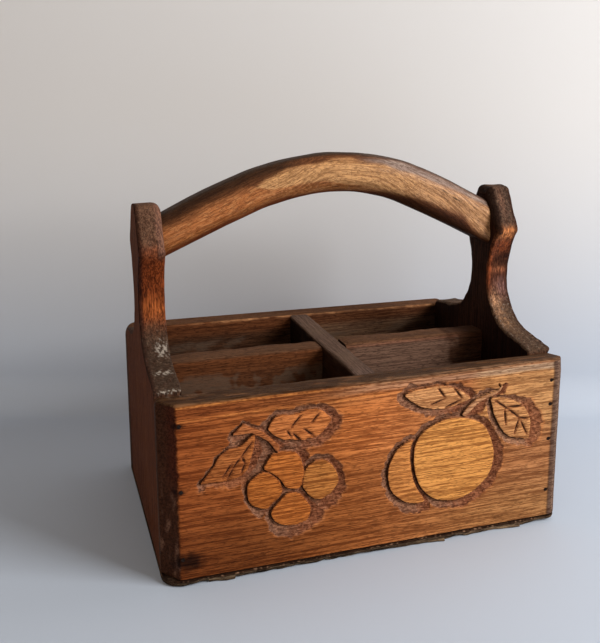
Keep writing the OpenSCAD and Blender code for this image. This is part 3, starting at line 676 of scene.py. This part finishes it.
def carving(x, z):
    """Depth of the carving under the face, its painted masks and the distance outside each shape. Outside
    the shapes the ground drops by an upright wall and rises back to the face over a width that is larger
    on the right and below. Veins are V-cuts that run out at their ends."""
    each = [to_outline(x, z, corners) for tint, corners in shapes.values()]
    out = np.min(each, axis=0) + 0.1 * mottle(x, z, 60, 8, 3)
    slope_x = np.gradient(out, axis=0) / np.gradient(x, axis=0)
    slope_z = np.gradient(out, axis=1) / np.gradient(z, axis=1)
    steep = np.maximum(np.hypot(slope_x, slope_z), 0.3)
    slope_x, slope_z = slope_x / steep, slope_z / steep
    hand = mottle(x, z, 61, 16, 4)
    width = 4.4 + 2.4 * ramp(slope_x - 0.6 * slope_z, -0.2, 1.0) + 0.7 * hand
    for at_x, at_z, by, fades, full in wider_ground:
        width = width + by * ramp(np.hypot(x - at_x, z - at_z), fades, full)
    width = width - 2.6 * ramp(np.hypot((x - 42) / 1.8, z - 115), 10, 5)
    rise = np.clip(1 - out / width, 0, 1) ** 0.6
    strokes = 1 + 0.1 * np.sin(2 * np.pi * (x + 0.45 * z + 2 * hand) / 2.6) + 0.08 * mottle(x, z, 62, 3.4, 1.4)
    depth = np.where(out > 0, ground_deep * np.clip(out / wall_w, 0, 1) * rise * strokes, 0)
    # line: a dark line at the foot of the wall on the left sides of the shapes, a painted shadow of the wall with grime
    # in it; the veins' cuts are darkened as well
    line = bump_at(out, 0.42, 0.52) * ramp(slope_x + 0.2 * slope_z, 0.45, -0.35)
    cut = np.zeros_like(out)
    for first, last in veins:
        far, share = to_line(x, z, first, last)
        fine = np.clip(1 - far / 1.35, 0, 1) * np.sin(np.pi * (0.2 + 0.6 * share)) * (out < 0.5)
        depth = np.maximum(depth, 1.1 * fine)
        cut = np.maximum(cut, ramp(fine, 0.05, 0.45))
        line = np.maximum(line, 0.85 * ramp(fine, 0.35, 0.75))
    depth = depth + 0.35 * np.exp(-np.abs(out) / 0.8) * (out < 0)
    ground = ramp(out, 0.0, 0.6) * ramp(out / width, 1.05, 0.93)
    lip = bump_at(out / width, 1.1, 0.1) * (out > 0)
    return depth, ground, line, lip, cut, out, slope_x, slope_z, each


x = np.unique(np.round(np.concatenate([
    np.linspace(-half_w, -130.6, 16), np.linspace(-130.4, 132.6, 470),
    half_w - corner_r + corner_r * np.sin(np.linspace(0, np.pi / 2, 12))]), 4))
rows = np.linspace(floor_top + 0.6, rim_z - 2.0, 158)
grid_x, grid_z = np.meshgrid(x, rows, indexing="ij")
depth, ground, line, lip, cut, out, slope_x, slope_z, each = carving(grid_x, grid_z)
snap = np.clip((0.6 - np.abs(out)) / 0.3, 0, 1)
face_x, face_z = grid_x - snap * out * slope_x, grid_z - snap * out * slope_z
ear = quarter_drop(x - half_w + ear_right, ear_right) + quarter_drop(-x - half_w + ear_left, ear_left)
lean = np.interp(x, [-135, -75, 0, 60, 125], [0, 0.8, 0.8, 1.4, 2.2])
top = rim_z - ear + lean + 0.2 * wander(x, 64, 160, 22)
band = rim_z - np.interp(x, [-130, 140], [9.2, 6.4])[:, None] + 0.3 * wander(x, 63, 120, 30)[:, None]
in_band = np.clip((grid_z - band) / (rim_z - band), 0, 1)
face_z = np.where(in_band > 0, face_z + in_band * (top[:, None] - rim_z), face_z)
hole = np.min([np.hypot(grid_x - nail_x, grid_z - nail_z) for nail_x, nail_z in nails], axis=0)
face_y = (-half_d + 0.15 + front_cut(x)[:, None] + depth + 0.3 * ramp(hole, 2.2, 1.4)
          + 0.05 * mottle(grid_x / 6, grid_z, 65, 6, 1.6) + 0.3 * ramp(in_band, 0, 0.06)
          + (band_drop - 0.3) * in_band + 0.1 * mottle(grid_x, grid_z, 66, 90, 30))
# The ring round the panel: up the carved face, over the worn top, down the plain back, under the foot
over = np.linspace(0, np.pi / 2, 7)[1:]
arris = 1.7 + 0.5 * wander(x, 67, 70, 9)
back_y, back_r, inner_top_z = -half_d + panel_t, 2.0 + 0 * x, top - lean
lift = (top - face_z[:, -1])[:, None]
front_top = np.stack([face_x[:, -1:] + 0 * over, face_y[:, -1:] + arris[:, None] * (1 - np.cos(over)),
                      face_z[:, -1:] + lift * np.sin(over)], -1)
share = even_shares(6)
start, stop = front_top[:, -1:], np.stack([x, back_y - back_r, inner_top_z], -1)[:, None]
top_run = start + (stop - start) * share[:, None]
back_top = np.stack([x[:, None] + 0 * over, (back_y - back_r)[:, None] + back_r[:, None] * np.sin(over),
                     (inner_top_z - back_r)[:, None] + back_r[:, None] * np.cos(over)], -1)
down = np.linspace(0, 1, 10)[1:]
back_run = np.stack([x[:, None] + 0 * down, back_y + 0 * x[:, None] + 0 * down,
                     (inner_top_z - back_r)[:, None] * (1 - down) + floor_top * down], -1)
foot_run = np.stack([x[:, None] + 0 * share, back_y + (face_y[:, :1] + 0.5 - back_y) * share,
                     floor_top + 0 * x[:, None] + 0 * share], -1)
carved_face = np.stack([face_x, face_y, face_z], -1)
rings = np.concatenate([carved_face, front_top, top_run, stop, back_top, back_run, foot_run], 1)
rings[..., 0] = swollen(rings[..., 0])
front_panel = skin("front_panel_carved", rings, sharp=40.0)


def all_round(front_mask):
    """A mask on the carved face, carried on round the rest of the panel as zero."""
    return np.concatenate([front_mask, np.zeros((len(x), rings.shape[1] - len(rows)))], 1)


def toned(tint, *layers):
    """Painted colour times a factor that starts from 1 and goes over to each layer's by its mask, in turn."""
    return tint * blended(np.ones_like(tint), *layers)


px, py, pz = np.moveaxis(rings, -1, 0)
on_face = all_round(np.ones_like(out))
streak = mottle(px / 16, pz, 68, 16, 3)
stain = on_face * ramp(np.hypot((px + 124) / 1.5, pz - 17) + 0.6 * mottle(px, pz, 69, 8, 5), 9.0, 2)
flat_end = (ramp(px - 0.3 - 0.45 * mottle(px, pz, 77, 22, 4), -129.2, -131)
            * ramp(py, back_y - 0.5, back_y - 4))
round_end = ramp(px, 132.2, 134.2)
level = pz - lean[:, None] * np.clip((back_y - 2 - py) / (panel_t - 4), 0, 1)
top_face = ramp(level, rim_z - 1.6, rim_z - 0.6) * (1 - on_face)
pale_arris = (ramp(py, -half_d + 3.4, -half_d + 2.2) * (1 - on_face) * ramp(px, -45, 10)
              * np.clip(0.8 + 0.3 * wander(px, 79, 60, 7), 0, 1))
inner = ramp(py, back_y - 2.0, back_y - 0.3)
band_mask = all_round(ramp(in_band, 0.02, 0.12)) * ramp(px, 90, -10) * ramp(px, -131, -127)
# The face goes over from red brown at the left to gold at the right, with darker and lighter areas: partly the wood's
# colour, partly painted light that falls brighter towards the right
shade = np.stack([np.interp(px, [-140, -20, 130], tones)
                  for tones in ((1.22, 1.5, 1.6), (1.18, 1.72, 2.4), (1.25, 1.9, 3.9))], -1)
shade = shade * (1 + 0.55 * ramp(pz, 58, 84) * bump_at(px, 5, 50) + 0.03 * ramp(pz, 80, 40) * bump_at(px, -10, 40)
                 - 0.48 * ramp(pz, 66, 14) * ramp(px, 40, -100))[..., None]
shade = toned(shade, (ramp(px, 66, 80) * ramp(pz, 64, 84), (1.34, 1.6, 1.62)),
              (ramp(pz, 104, 111) * bump_at(px, -30, 40), (0.78, 0.85, 0.97)),
              (ramp(px, 0, 90) * ramp(pz, 50, 15), (1.06, 1.18, 1.14)))
tint = blended(untinted(px), (on_face, shade))
tint = toned(tint, (0.45 * on_face * ramp(streak, 0.4, 1.5), (1.3, 1.38, 1.45)),
             (0.45 * on_face * ramp(streak, -0.5, -1.5), (0.7, 0.65, 0.6)), (0.85 * band_mask, (0.75, 0.74, 0.78)),
             (0.9 * all_round(ramp(in_band, 0.1, 0.4)) * ramp(px, -45, 0), (0.85, 1.18, 2.0)))
for (wood, corners), distance in zip(shapes.values(), each):
    tint = blended(tint, (all_round(ramp(distance, 0.2, -0.6)), wood))
torn = 0.9 * mottle(0.45 * (px + pz), 1.1 * (pz - px), 74, 8, 1.8) + 0.3 * mottle(px, pz, 78, 3, 1.3)
turned = all_round(ramp(slope_x - 0.3 * slope_z, -0.1, 0.7))
bare = all_round(ground) * (1 - 0.55 * ramp(np.hypot((px + 98) / 2, pz - 65), 9, 4))
# On the ground, the right and lower sides of the shapes (turned) are painted darker and redder, partly a painted shade
# where the slope faces away from the light; the pale lip along the ground's outer edge, strongest there, is a painted
# highlight.
tint = blended(tint, (all_round(lip) * (0.3 + 0.4 * turned), (2.1, 2.8, 4.0)),
               (0.8 * all_round(cut), (0.85, 0.9, 1.4)), (0.92 * bare, (1.0, 1.75, 4.4)),
               (0.85 * bare * turned, (1.12, 1.36, 2.5)), (0.55 * bare * ramp(torn, 0.5, 1.5), (2.0, 3.2, 6.6)),
               (0.6 * bare * ramp(torn, -0.35, -1.2), (0.38, 0.44, 0.95)))
tint = toned(tint, (bare * ramp(np.hypot(px - 114, pz - 79), 30, 18), (1.26, 1.32, 1.3)))
dusted = bump_at(px, -124, 8) * bump_at(py, back_y - 1.5, 2.4)
tint = blended(tint, (0.96 * flat_end, (0.22, 0.29, 0.56)),
               (0.45 * flat_end * ramp(mottle(3 * px, pz / 3, 70, 12, 3), 0.2, 1.3), (0.45, 0.62, 1.2)),
               (0.6 * flat_end * ramp(pz, 55, 80) * ramp(px, -137, -132), (0.36, 0.26, 0.45)),
               (0.6 * flat_end * ramp(mottle(2 * px, pz, 75, 26, 7), 0.4, 1.3) * ramp(pz, 75, 45), (0.95, 1.7, 4.4)),
               # The rounded right corner is painted blue grey, a painted sheen, with a dark line at its inner edge and
               # a painted highlight along its outer edge.
               (0.95 * round_end, (0.5, 1.05, 3.2)), (0.6 * bump_at(px, 133.2, 0.7), (0.25, 0.45, 1.2)),
               (0.75 * bump_at(px, 137.6, 0.9), (0.9, 2.0, 5.6)), (top_face, (0.3, 0.52, 1.0)),
               (0.8 * top_face * ramp(mottle(px / 9, py, 71, 8, 1.8), 0.3, 1.2), (0.85, 1.4, 2.5)),
               (0.9 * pale_arris, (0.8, 1.55, 3.5)),
               (top_face * dusted * ramp(mottle(px / 2, py, 76, 5, 1.2), 0.1, 0.8), (1.6, 4.6, 15.0)),
               (inner, (0.25, 0.4, 0.7)))
rim_line = (bump_at(level, rim_z - 1.9, 0.6) * ramp(py, -half_d + 4, -half_d + 2.4) * ramp(px, -131, -129)
            * ramp(px, 135, 130) * np.clip(0.75 + 0.35 * wander(px, 72, 40, 3), 0, 1))
band_line = (on_face * bump_at(all_round(band - grid_z), 0.6, 0.8) * ramp(px, -131, -128) * ramp(px, 60, -10)
             * np.clip(0.8 + 0.3 * wander(px, 73, 60, 6), 0, 1))
tint = blended(tint, (0.9 * rim_line, (2.5, 3.4, 3.6)), (0.95 * rim_line * ramp(px, -40, 0), (1.35, 2.7, 6.6)),
               (0.85 * band_line, (2.3, 2.9, 3.2)))
smudge = on_face * np.max([ramp(np.hypot((px + 129) / 1.7, pz - nail_z) + 0.5 * torn, 3.2, 0.8)
                           for nail_x, nail_z in nails[1:3]], axis=0)
tint = toned(tint, (0.95 * stain, (0.1, 0.12, 0.24)), (0.85 * smudge, (0.14, 0.16, 0.3)))
# The grime and shade mask holds the carving's line, partly a painted shadow, and grime round the nail holes.
paint(front_panel, tint, dust=0.25 * inner,
      grime=np.maximum(all_round(line), 0.85 * all_round(ramp(hole, 1.6, 0.9))))
settle(front_panel, oiled_wood("carved panel wood", "X", (0.29, 0.081, 0.0192), (0.118, 0.027, 0.0058),
                               (0.06, 0.014, 0.003), (0.4, 0.19, 0.095), roughness=0.55, pore_strength=0.6),
       "front_panel")

# Back panel
# The plain twin of the front panel, a little higher. Its inner top edge is worn to a golden line, and
# its inner face is dusty where cutlery rubs.
back_top_z, back_ear_r = 121.0, 8.0
x = stations(3.0)
worn_r = 2.4 + 0.6 * wander(x, 81, 90, 12)
ear = quarter_drop(np.abs(x) - half_w + back_ear_r, back_ear_r)
edge_top = back_top_z - 0.8 - ear - 0.008 * x
section = rounded_section(inner_y + 0 * x, half_d - back_cut(x) - 0.3, floor_top, edge_top,
                          (0.3, 0.6, 3.0, worn_r), even_shares(8), 1 - (1 - even_shares(40)) ** 1.2, on_arc=5)
y, z = section[..., 0], section[..., 1]
wide = x[:, None] + 0 * y
y = y + 0.2 * mottle(wide, z, 82, 90, 25) * (z < 112)
back_panel = skin("back_panel_plain", np.stack([wide, y, z], -1))
inner = ramp(y, inner_y + 2.5, inner_y + 0.6)
outer = ramp(y, half_d - 4, half_d - 2)
patch = mottle(wide, 1.8 * z, 84, 85, 12)
top_face = ramp(z, back_top_z - 3.2, back_top_z - 1.8) * (1 - inner)
worn_line = (bump_at(z - edge_top[:, None], -0.6, 0.7) * ramp(y, inner_y + 2.2, inner_y + 1.4)
             * np.clip(0.6 + 0.5 * wander(wide, 85, 60, 9), 0, 1))
# Painted shadows on the inner face: one slanting in from the right end board, and a weaker one left of the cross
# divider.
painted_shadow = np.maximum(ramp(wide + 1.6 * (117 - z), 106, 126),
                         0.5 * (wide < 0) * ramp(wide + 1.3 * (117 - z), -12, 6))
paint(back_panel,
      blended(untinted(y),
              (outer, (2.0, 1.45, 1.1)), (top_face, (1.1, 1.1, 1.1)), (inner, (0.52, 0.5, 0.52)),
              (inner * ramp(wide, -20, 20), (1.4, 1.75, 2.2)), (0.8 * inner * ramp(z, 106, 114), (1.15, 0.85, 0.65)),
              (0.85 * inner * painted_shadow, (0.16, 0.14, 0.14)), (worn_line * ramp(wide, -110, -50), (4.0, 4.4, 4.2))),
      dust=0.7 * inner * ramp(patch, -0.1, 1.1) * ramp(z, 114, 100),
      grime=0.45 * inner * ramp(z, 70, 25) + 0.4 * ramp(np.abs(wide), 137, 140))
settle(back_panel, oiled_wood("plain panel wood", "X", (0.14, 0.062, 0.028), (0.065, 0.026, 0.012),
                              (0.028, 0.011, 0.006), (0.4, 0.22, 0.1), (0.12, 0.08, 0.055), roughness=0.7),
       "back_panel")

# Handle
# One bowed piece, sawn from a plank and planed to eight soft sides, butted between the two heads on
# hidden pegs. Hands have polished it to honey gold in front and left its top dark.
bow_r, bow_angle, bow_top_z, grip_half, grip_flat = 150.0, math.radians(24), 246.57, 14.0, 6.0
fuller_out, fuller_down = 3.6, 4.4
# Section: a square with planed-off corners, its eight edges softened
h, c = grip_half, grip_flat
section = evenly(np.array([(h, -c), (h, c), (c, h), (-c, h), (-h, c), (-h, -c), (-c, -h), (c, -h), (h, -c)]), 72)
turn = np.linspace(-bow_angle, bow_angle, 81)
run = bow_r * turn
plump = 1 + 0.01 * wander(run, 91, 160, 50)
up, back = section[:, 0] * plump[:, None], section[:, 1] * plump[:, None]
rise = bow_r + up + 0.25 * mottle(run[:, None] + 0 * up, 6 * back, 92, 120, 30)
bow = np.stack([rise * np.sin(turn)[:, None], back, bow_top_z - bow_r + rise * np.cos(turn)[:, None]], -1)
steps = np.linspace(0, 1, 33)[1:, None, None]


def straight_end(ring, side):
    """The end ring of the bow carried straight on, each point to the inner face of the end board, with the
    lower corners filling out towards the right joint."""
    reach = (inner_x - side * ring[:, :1]) / math.cos(bow_angle)
    corner = ramp(-section[:, 0], 2, 10) * ramp(np.abs(section[:, 1]), 3, 10)
    fuller = (side > 0) * np.stack([0 * corner, fuller_out * corner * np.sign(section[:, 1]),
                                    -fuller_down * corner], -1)
    last = ring + reach * np.array([side * math.cos(bow_angle), 0, -math.sin(bow_angle)])
    return ring + (last + fuller - ring) * steps


rings = np.concatenate([straight_end(bow[0], -1)[::-1], bow, straight_end(bow[-1], 1)])
straight = (inner_x - bow_r * math.sin(bow_angle)) / math.cos(bow_angle)
path = np.concatenate([-(run[-1] + straight * steps[::-1, 0, 0]), run, run[-1] + straight * steps[:, 0, 0]])
u, v = np.broadcast_arrays(section[:, 0], section[:, 1] + 0 * path[:, None])
s = path[:, None] + 0 * u
# Hand-planed: how much higher than an even bow its top and its underside are along the path
top_by = np.interp(s, [-135, -118, -105, -92, -80, -68, -55, -45, -15, 0, 25, 46, 58, 70, 84, 97, 109, 125],
                   [0, 0.85, 1.35, 1.5, 1.2, 0.7, 0.1, -0.6, -0.7, -0.1, -0.1, 1.6, 2.5, 3.2, 3.3, 3.1, 2.3, 1.4])
low_by = np.interp(s, [-110, -97, -84, -72, -60, -45, -22, 0, 48, 110, 135],
                   [1.3, 1.25, 1.2, 0.7, 0.35, -0.6, -0.9, 0, 0.5, 0.3, 0])
rings[..., 2] += low_by + (top_by - low_by) * ramp(u, -12, 12)
handle = skin("bowed_handle", rings, sharp=60.0)
# The grain follows the path, and slants across it where the saw cut through the plank's layers
slant = np.interp(s, [-135, -70, -50, -10, 10, 30, 50, 135], [0, 0, -3, -13, -15, -14.5, -12, 8])
grain_place = np.stack([2.2 * s, u + slant + wander(s, 96, 120, 45), v], -1) * MM
layer = handle.data.attributes.new("path", "FLOAT_VECTOR", "POINT")
layer.data.foreach_set("vector", grain_place.astype(np.float32).ravel())
# Polished gold in front, between a dark top and a dark underside, with a paler lens of sapwood in it. On the right the
# upper facets carry a painted sheen, and under the lens runs a painted shade line.
drift = 0.5 * mottle(s / 5, u, 93, 14, 5)
high = np.interp(s, [-135, -90, -62, -57, -50, -42, -32, -9, 0, 12, 37, 49, 71, 93, 115],
                 [4.6, 4.2, 3.6, 3.0, 6.2, 7.6, 8.6, 9.0, 9.4, 9.6, 8.6, 6.0, 6.8, 8.2, 8.5]) + drift
low = np.interp(s, [-125, -45, -20, 15, 37, 49, 71, 93, 107, 115, 128],
                [-10.4, -10.6, -12, -12, -10.8, -9.8, -7.7, -5.6, -5.0, -7, -10]) + drift
lens_low = np.interp(s, [-57, -47, -37, -27, -9, 0, 37, 60],
                     [3.0, -0.8, -2.4, -3.4, -4.2, -6.0, -8.6, -10]) + 0.5 * drift
soft = np.interp(s, [-135, -64, -56, -30, 30, 60, 135], [4.0, 4.2, 0.8, 1.1, 1.8, 1.6, 1.6])
low_soft = np.interp(s, [-60, 0, 40, 100], [1.8, 1.2, 2.2, 3.2])
front = ramp(v, 8, -6)
gold = front * ramp(u, high + soft, high - soft) * ramp(u, low - low_soft, low + low_soft)
lens = gold * ramp(u, lens_low - 0.6, lens_low + 0.6) * ramp(s, -60, -56) * ramp(s, 95, 25)
# A painted shade line just under the lens, where its planed facet turns away.
shade_under_lens = gold * bump_at(u, lens_low - 1.6, 1.3) * ramp(s, -40, -15) * ramp(s, 35, 10)
above = ramp(u, high - soft, high + soft)
under = ramp(u, low + low_soft, low - low_soft)
right, left = ramp(s, 0, 60), ramp(s, -40, -65)
# sheen: a painted sheen on the upper facets at the right.
sheen = above * ramp(s, 12, 42) * ramp(v, 8, -2) * ramp(u, 13.2, 11.2)
streak = mottle(s / 12, 0.8 * u + 0.5 * v, 94, 7, 1.8)
fleck = mottle(s / 4 - 0.5 * u, u + slant, 95, 3.2, 1.1)
top_flat = ramp(u, 12.4, 13.4)
crack = 0.85 * front * ramp(s, 80, 90) * ramp(s, 116, 106) * bump_at(u - 3.4 + 0.1 * (s - 96), 0, 0.6)
paint(handle,
      blended(untinted(u),
              (above, (0.78, 0.62, 0.56)), (above * ramp(u, 5.5, 11) * ramp(s, -15, -40), (0.27, 0.24, 0.25)),
              # The top facet, with a painted sheen on it at the right.
              (top_flat, (0.28, 0.32, 0.44)), (top_flat * right, (0.55, 0.75, 1.5)),
              (gold, (2.05, 1.72, 1.55)), (gold * left, (2.2, 1.7, 1.4)), (gold * right, (2.4, 2.8, 3.5)),
              (lens, (2.85, 3.35, 3.7)), (0.6 * shade_under_lens, (1.15, 0.9, 0.8)),
              (0.3 * gold * ramp(streak, -0.3, -1.3), (0.9, 0.75, 0.7)),
              (0.3 * gold * ramp(streak, 0.5, 1.4), (3.2, 3.6, 3.9)),
              (0.4 * gold * ramp(fleck, 0.4, 1.3), (3.4, 3.8, 4.0)),
              (0.45 * gold * ramp(fleck, -0.4, -1.3), (1.1, 0.92, 0.8)),
              (0.85 * sheen, (1.55, 2.5, 5.4)), (0.5 * sheen * ramp(streak, 0.3, 1.2), (2.4, 4.2, 9.0)),
              (under, (0.88, 0.48, 0.38)), (under * right, (0.3, 0.22, 0.22)),
              (0.8 * ramp(v, 4, 10) * ramp(u, -9, -4), (0.9, 0.8, 0.8))),
      polish=gold, grime=0.45 * ramp(np.abs(s), 128, 136) + crack)
settle(handle, oiled_wood("handle wood", "path", (0.215, 0.098, 0.0375), (0.112, 0.046, 0.0168), (0.055, 0.022, 0.0085),
                          (0.6, 0.4, 0.22), roughness=0.6, pore_strength=0.65, specular=0.1),
       "handle")

# Pegs
# Two blind wooden pegs, hidden in the joints between the handle and the heads.
peg_wood = oiled_wood("peg wood", "X", (0.5, 0.31, 0.15), (0.36, 0.2, 0.09), (0.2, 0.1, 0.045), (0.6, 0.4, 0.22),
                      roughness=0.7)


def dress(nodes, material):
    """Gives CAD nodes that show as they are their material."""
    for node in nodes:
        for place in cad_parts[node].material_slots:
            place.material = material


dress(("left_handle_peg", "right_handle_peg"), peg_wood)

# Nails
# Fine iron nails through the panels into the end boards, and up through the bottom board; their heads
# are nearly flush, dark with rust and rubbed bright in spots.
nail_iron = bpy.data.materials.new("rusted nail iron")
nail_iron.use_nodes = True
tree = nail_iron.node_tree
surface = tree.nodes["Principled BSDF"]
own = put(tree, "ShaderNodeTexCoord").outputs["Object"]
scale_rust = put(tree, "ShaderNodeTexNoise", {"Vector": own, "Scale": 900.0, "Detail": 4.0,
                                              "Roughness": 0.7}).outputs["Fac"]
rust = spread(tree, scale_rust, 0.34, 0.52)
tree.links.new(mixed(tree, rust, (0.014, 0.009, 0.007, 1), (0.008, 0.004, 0.003, 1)), surface.inputs["Base Color"])
surface.inputs["Specular IOR Level"].default_value = 0.15
tree.links.new(calc(tree, "ADD", 0.6, calc(tree, "MULTIPLY", rust, 0.3)), surface.inputs["Roughness"])
bump = put(tree, "ShaderNodeBump", {"Height": scale_rust, "Strength": 0.5, "Distance": 0.0002})
tree.links.new(bump.outputs["Normal"], surface.inputs["Normal"])
dress(("front_nails", "back_nails", "floor_nails"), nail_iron)

# Setting
# A plain pale sheet that lies under the tray and curves up close behind it, soft light from the front
# right, and the camera a little above the rim and to the left. From behind, the sheet isn't seen.
camera_turn, camera_dip = math.radians(18.28), math.radians(11.15)
sheet_near, sheet_y, sheet_bend, sheet_w, sheet_h = -1700.0, 172.0, 34.0, 2800.0, 1400.0
bend = np.linspace(0, np.pi / 2, 17)[1:]
flat_end_y = sheet_y - sheet_bend
along = np.concatenate([np.linspace(sheet_near, flat_end_y, 13), flat_end_y + sheet_bend * np.sin(bend),
                        np.full(6, sheet_y)])
height = np.concatenate([np.zeros(13), sheet_bend * (1 - np.cos(bend)), sheet_bend + np.linspace(0, sheet_h, 7)[1:]])
cross = np.linspace(-sheet_w / 2, sheet_w / 2, 9)
cross, along, height = np.broadcast_arrays(cross, along[:, None], height[:, None])
points = np.stack([cross * math.cos(camera_turn) + along * math.sin(camera_turn),
                   along * math.cos(camera_turn) - cross * math.sin(camera_turn), height], -1)
index = np.arange(height.size).reshape(height.shape)
quads = np.stack([index[:-1, :-1], index[:-1, 1:], index[1:, 1:], index[1:, :-1]], -1).reshape(-1, 4)
mesh = bpy.data.meshes.new("pale_sheet")
mesh.from_pydata((points.reshape(-1, 3) * MM).tolist(), [], quads.tolist())
mesh.shade_smooth()
sheet = bpy.data.objects.new("pale_sheet", mesh)
bpy.context.scene.collection.objects.link(sheet)
plain = bpy.data.materials.new("plain pale sheet")
plain.use_nodes = True
tree = plain.node_tree
surface = tree.nodes["Principled BSDF"]
own = put(tree, "ShaderNodeTexCoord").outputs["Object"]
rise = put(tree, "ShaderNodeSeparateXYZ", {"Vector": own}).outputs["Z"]
# The sheet is darker and bluer on the floor than up the wall, partly a painted cool light on the floor.
pale = mixed(tree, spread(tree, rise, -0.1, 0.3), (0.455, 0.535, 0.655, 1), (0.79, 0.775, 0.765, 1))
tree.links.new(pale, surface.inputs["Base Color"])
surface.inputs["Roughness"].default_value = 0.95
surface.inputs["Specular IOR Level"].default_value = 0.1
behind = put(tree, "ShaderNodeNewGeometry").outputs["Backfacing"]
tree.links.new(calc(tree, "SUBTRACT", 1.0, behind), surface.inputs["Alpha"])
mesh.materials.append(plain)


def soft_lamp(name, place, aim, size, power, colour):
    """A square lamp at a place, turned to the point it aims at; places in metres."""
    lamp = bpy.data.lights.new(name, "AREA")
    lamp.size, lamp.energy, lamp.color = size, power, colour
    thing = bpy.data.objects.new(name, lamp)
    reach = np.subtract(aim, place)
    thing.location = place
    thing.rotation_euler = (math.acos(-reach[2] / np.linalg.norm(reach)), 0, math.atan2(-reach[0], reach[1]))
    bpy.context.scene.collection.objects.link(thing)


soft_lamp("main_light", (1.0, -0.95, 0.85), (0.0, 0.0, 0.1), 0.7, 25.5, (1.0, 0.99, 0.975))
soft_lamp("fill_light", (-0.9, -1.3, 0.9), (0.0, 0.0, 0.1), 1.4, 3.0, (1.0, 0.94, 0.86))
scene = bpy.context.scene
scene.world = bpy.data.worlds.new("soft surround")
scene.world.use_nodes = True
scene.world.node_tree.nodes["Background"].inputs["Color"].default_value = (1.0, 0.81, 0.64, 1)
scene.world.node_tree.nodes["Background"].inputs["Strength"].default_value = 0.28
scene.view_settings.view_transform = "Standard"

image_w, image_h = 600, 643
focal, centre_x, centre_y = 857.62, 313.7, 244.12
camera_data = bpy.data.cameras.new("camera")
camera_data.sensor_width = 36.0
camera_data.lens = focal / image_h * camera_data.sensor_width
camera_data.shift_x = (image_w / 2 - centre_x) / image_h
camera_data.shift_y = (centre_y - image_h / 2) / image_h
camera_data.clip_start = 0.01
camera = bpy.data.objects.new("camera", camera_data)
camera.location = (-0.20299, -0.57916, 0.31457)
camera.rotation_euler = (math.pi / 2 - camera_dip, 0, -camera_turn)
scene.collection.objects.link(camera)
scene.camera = camera
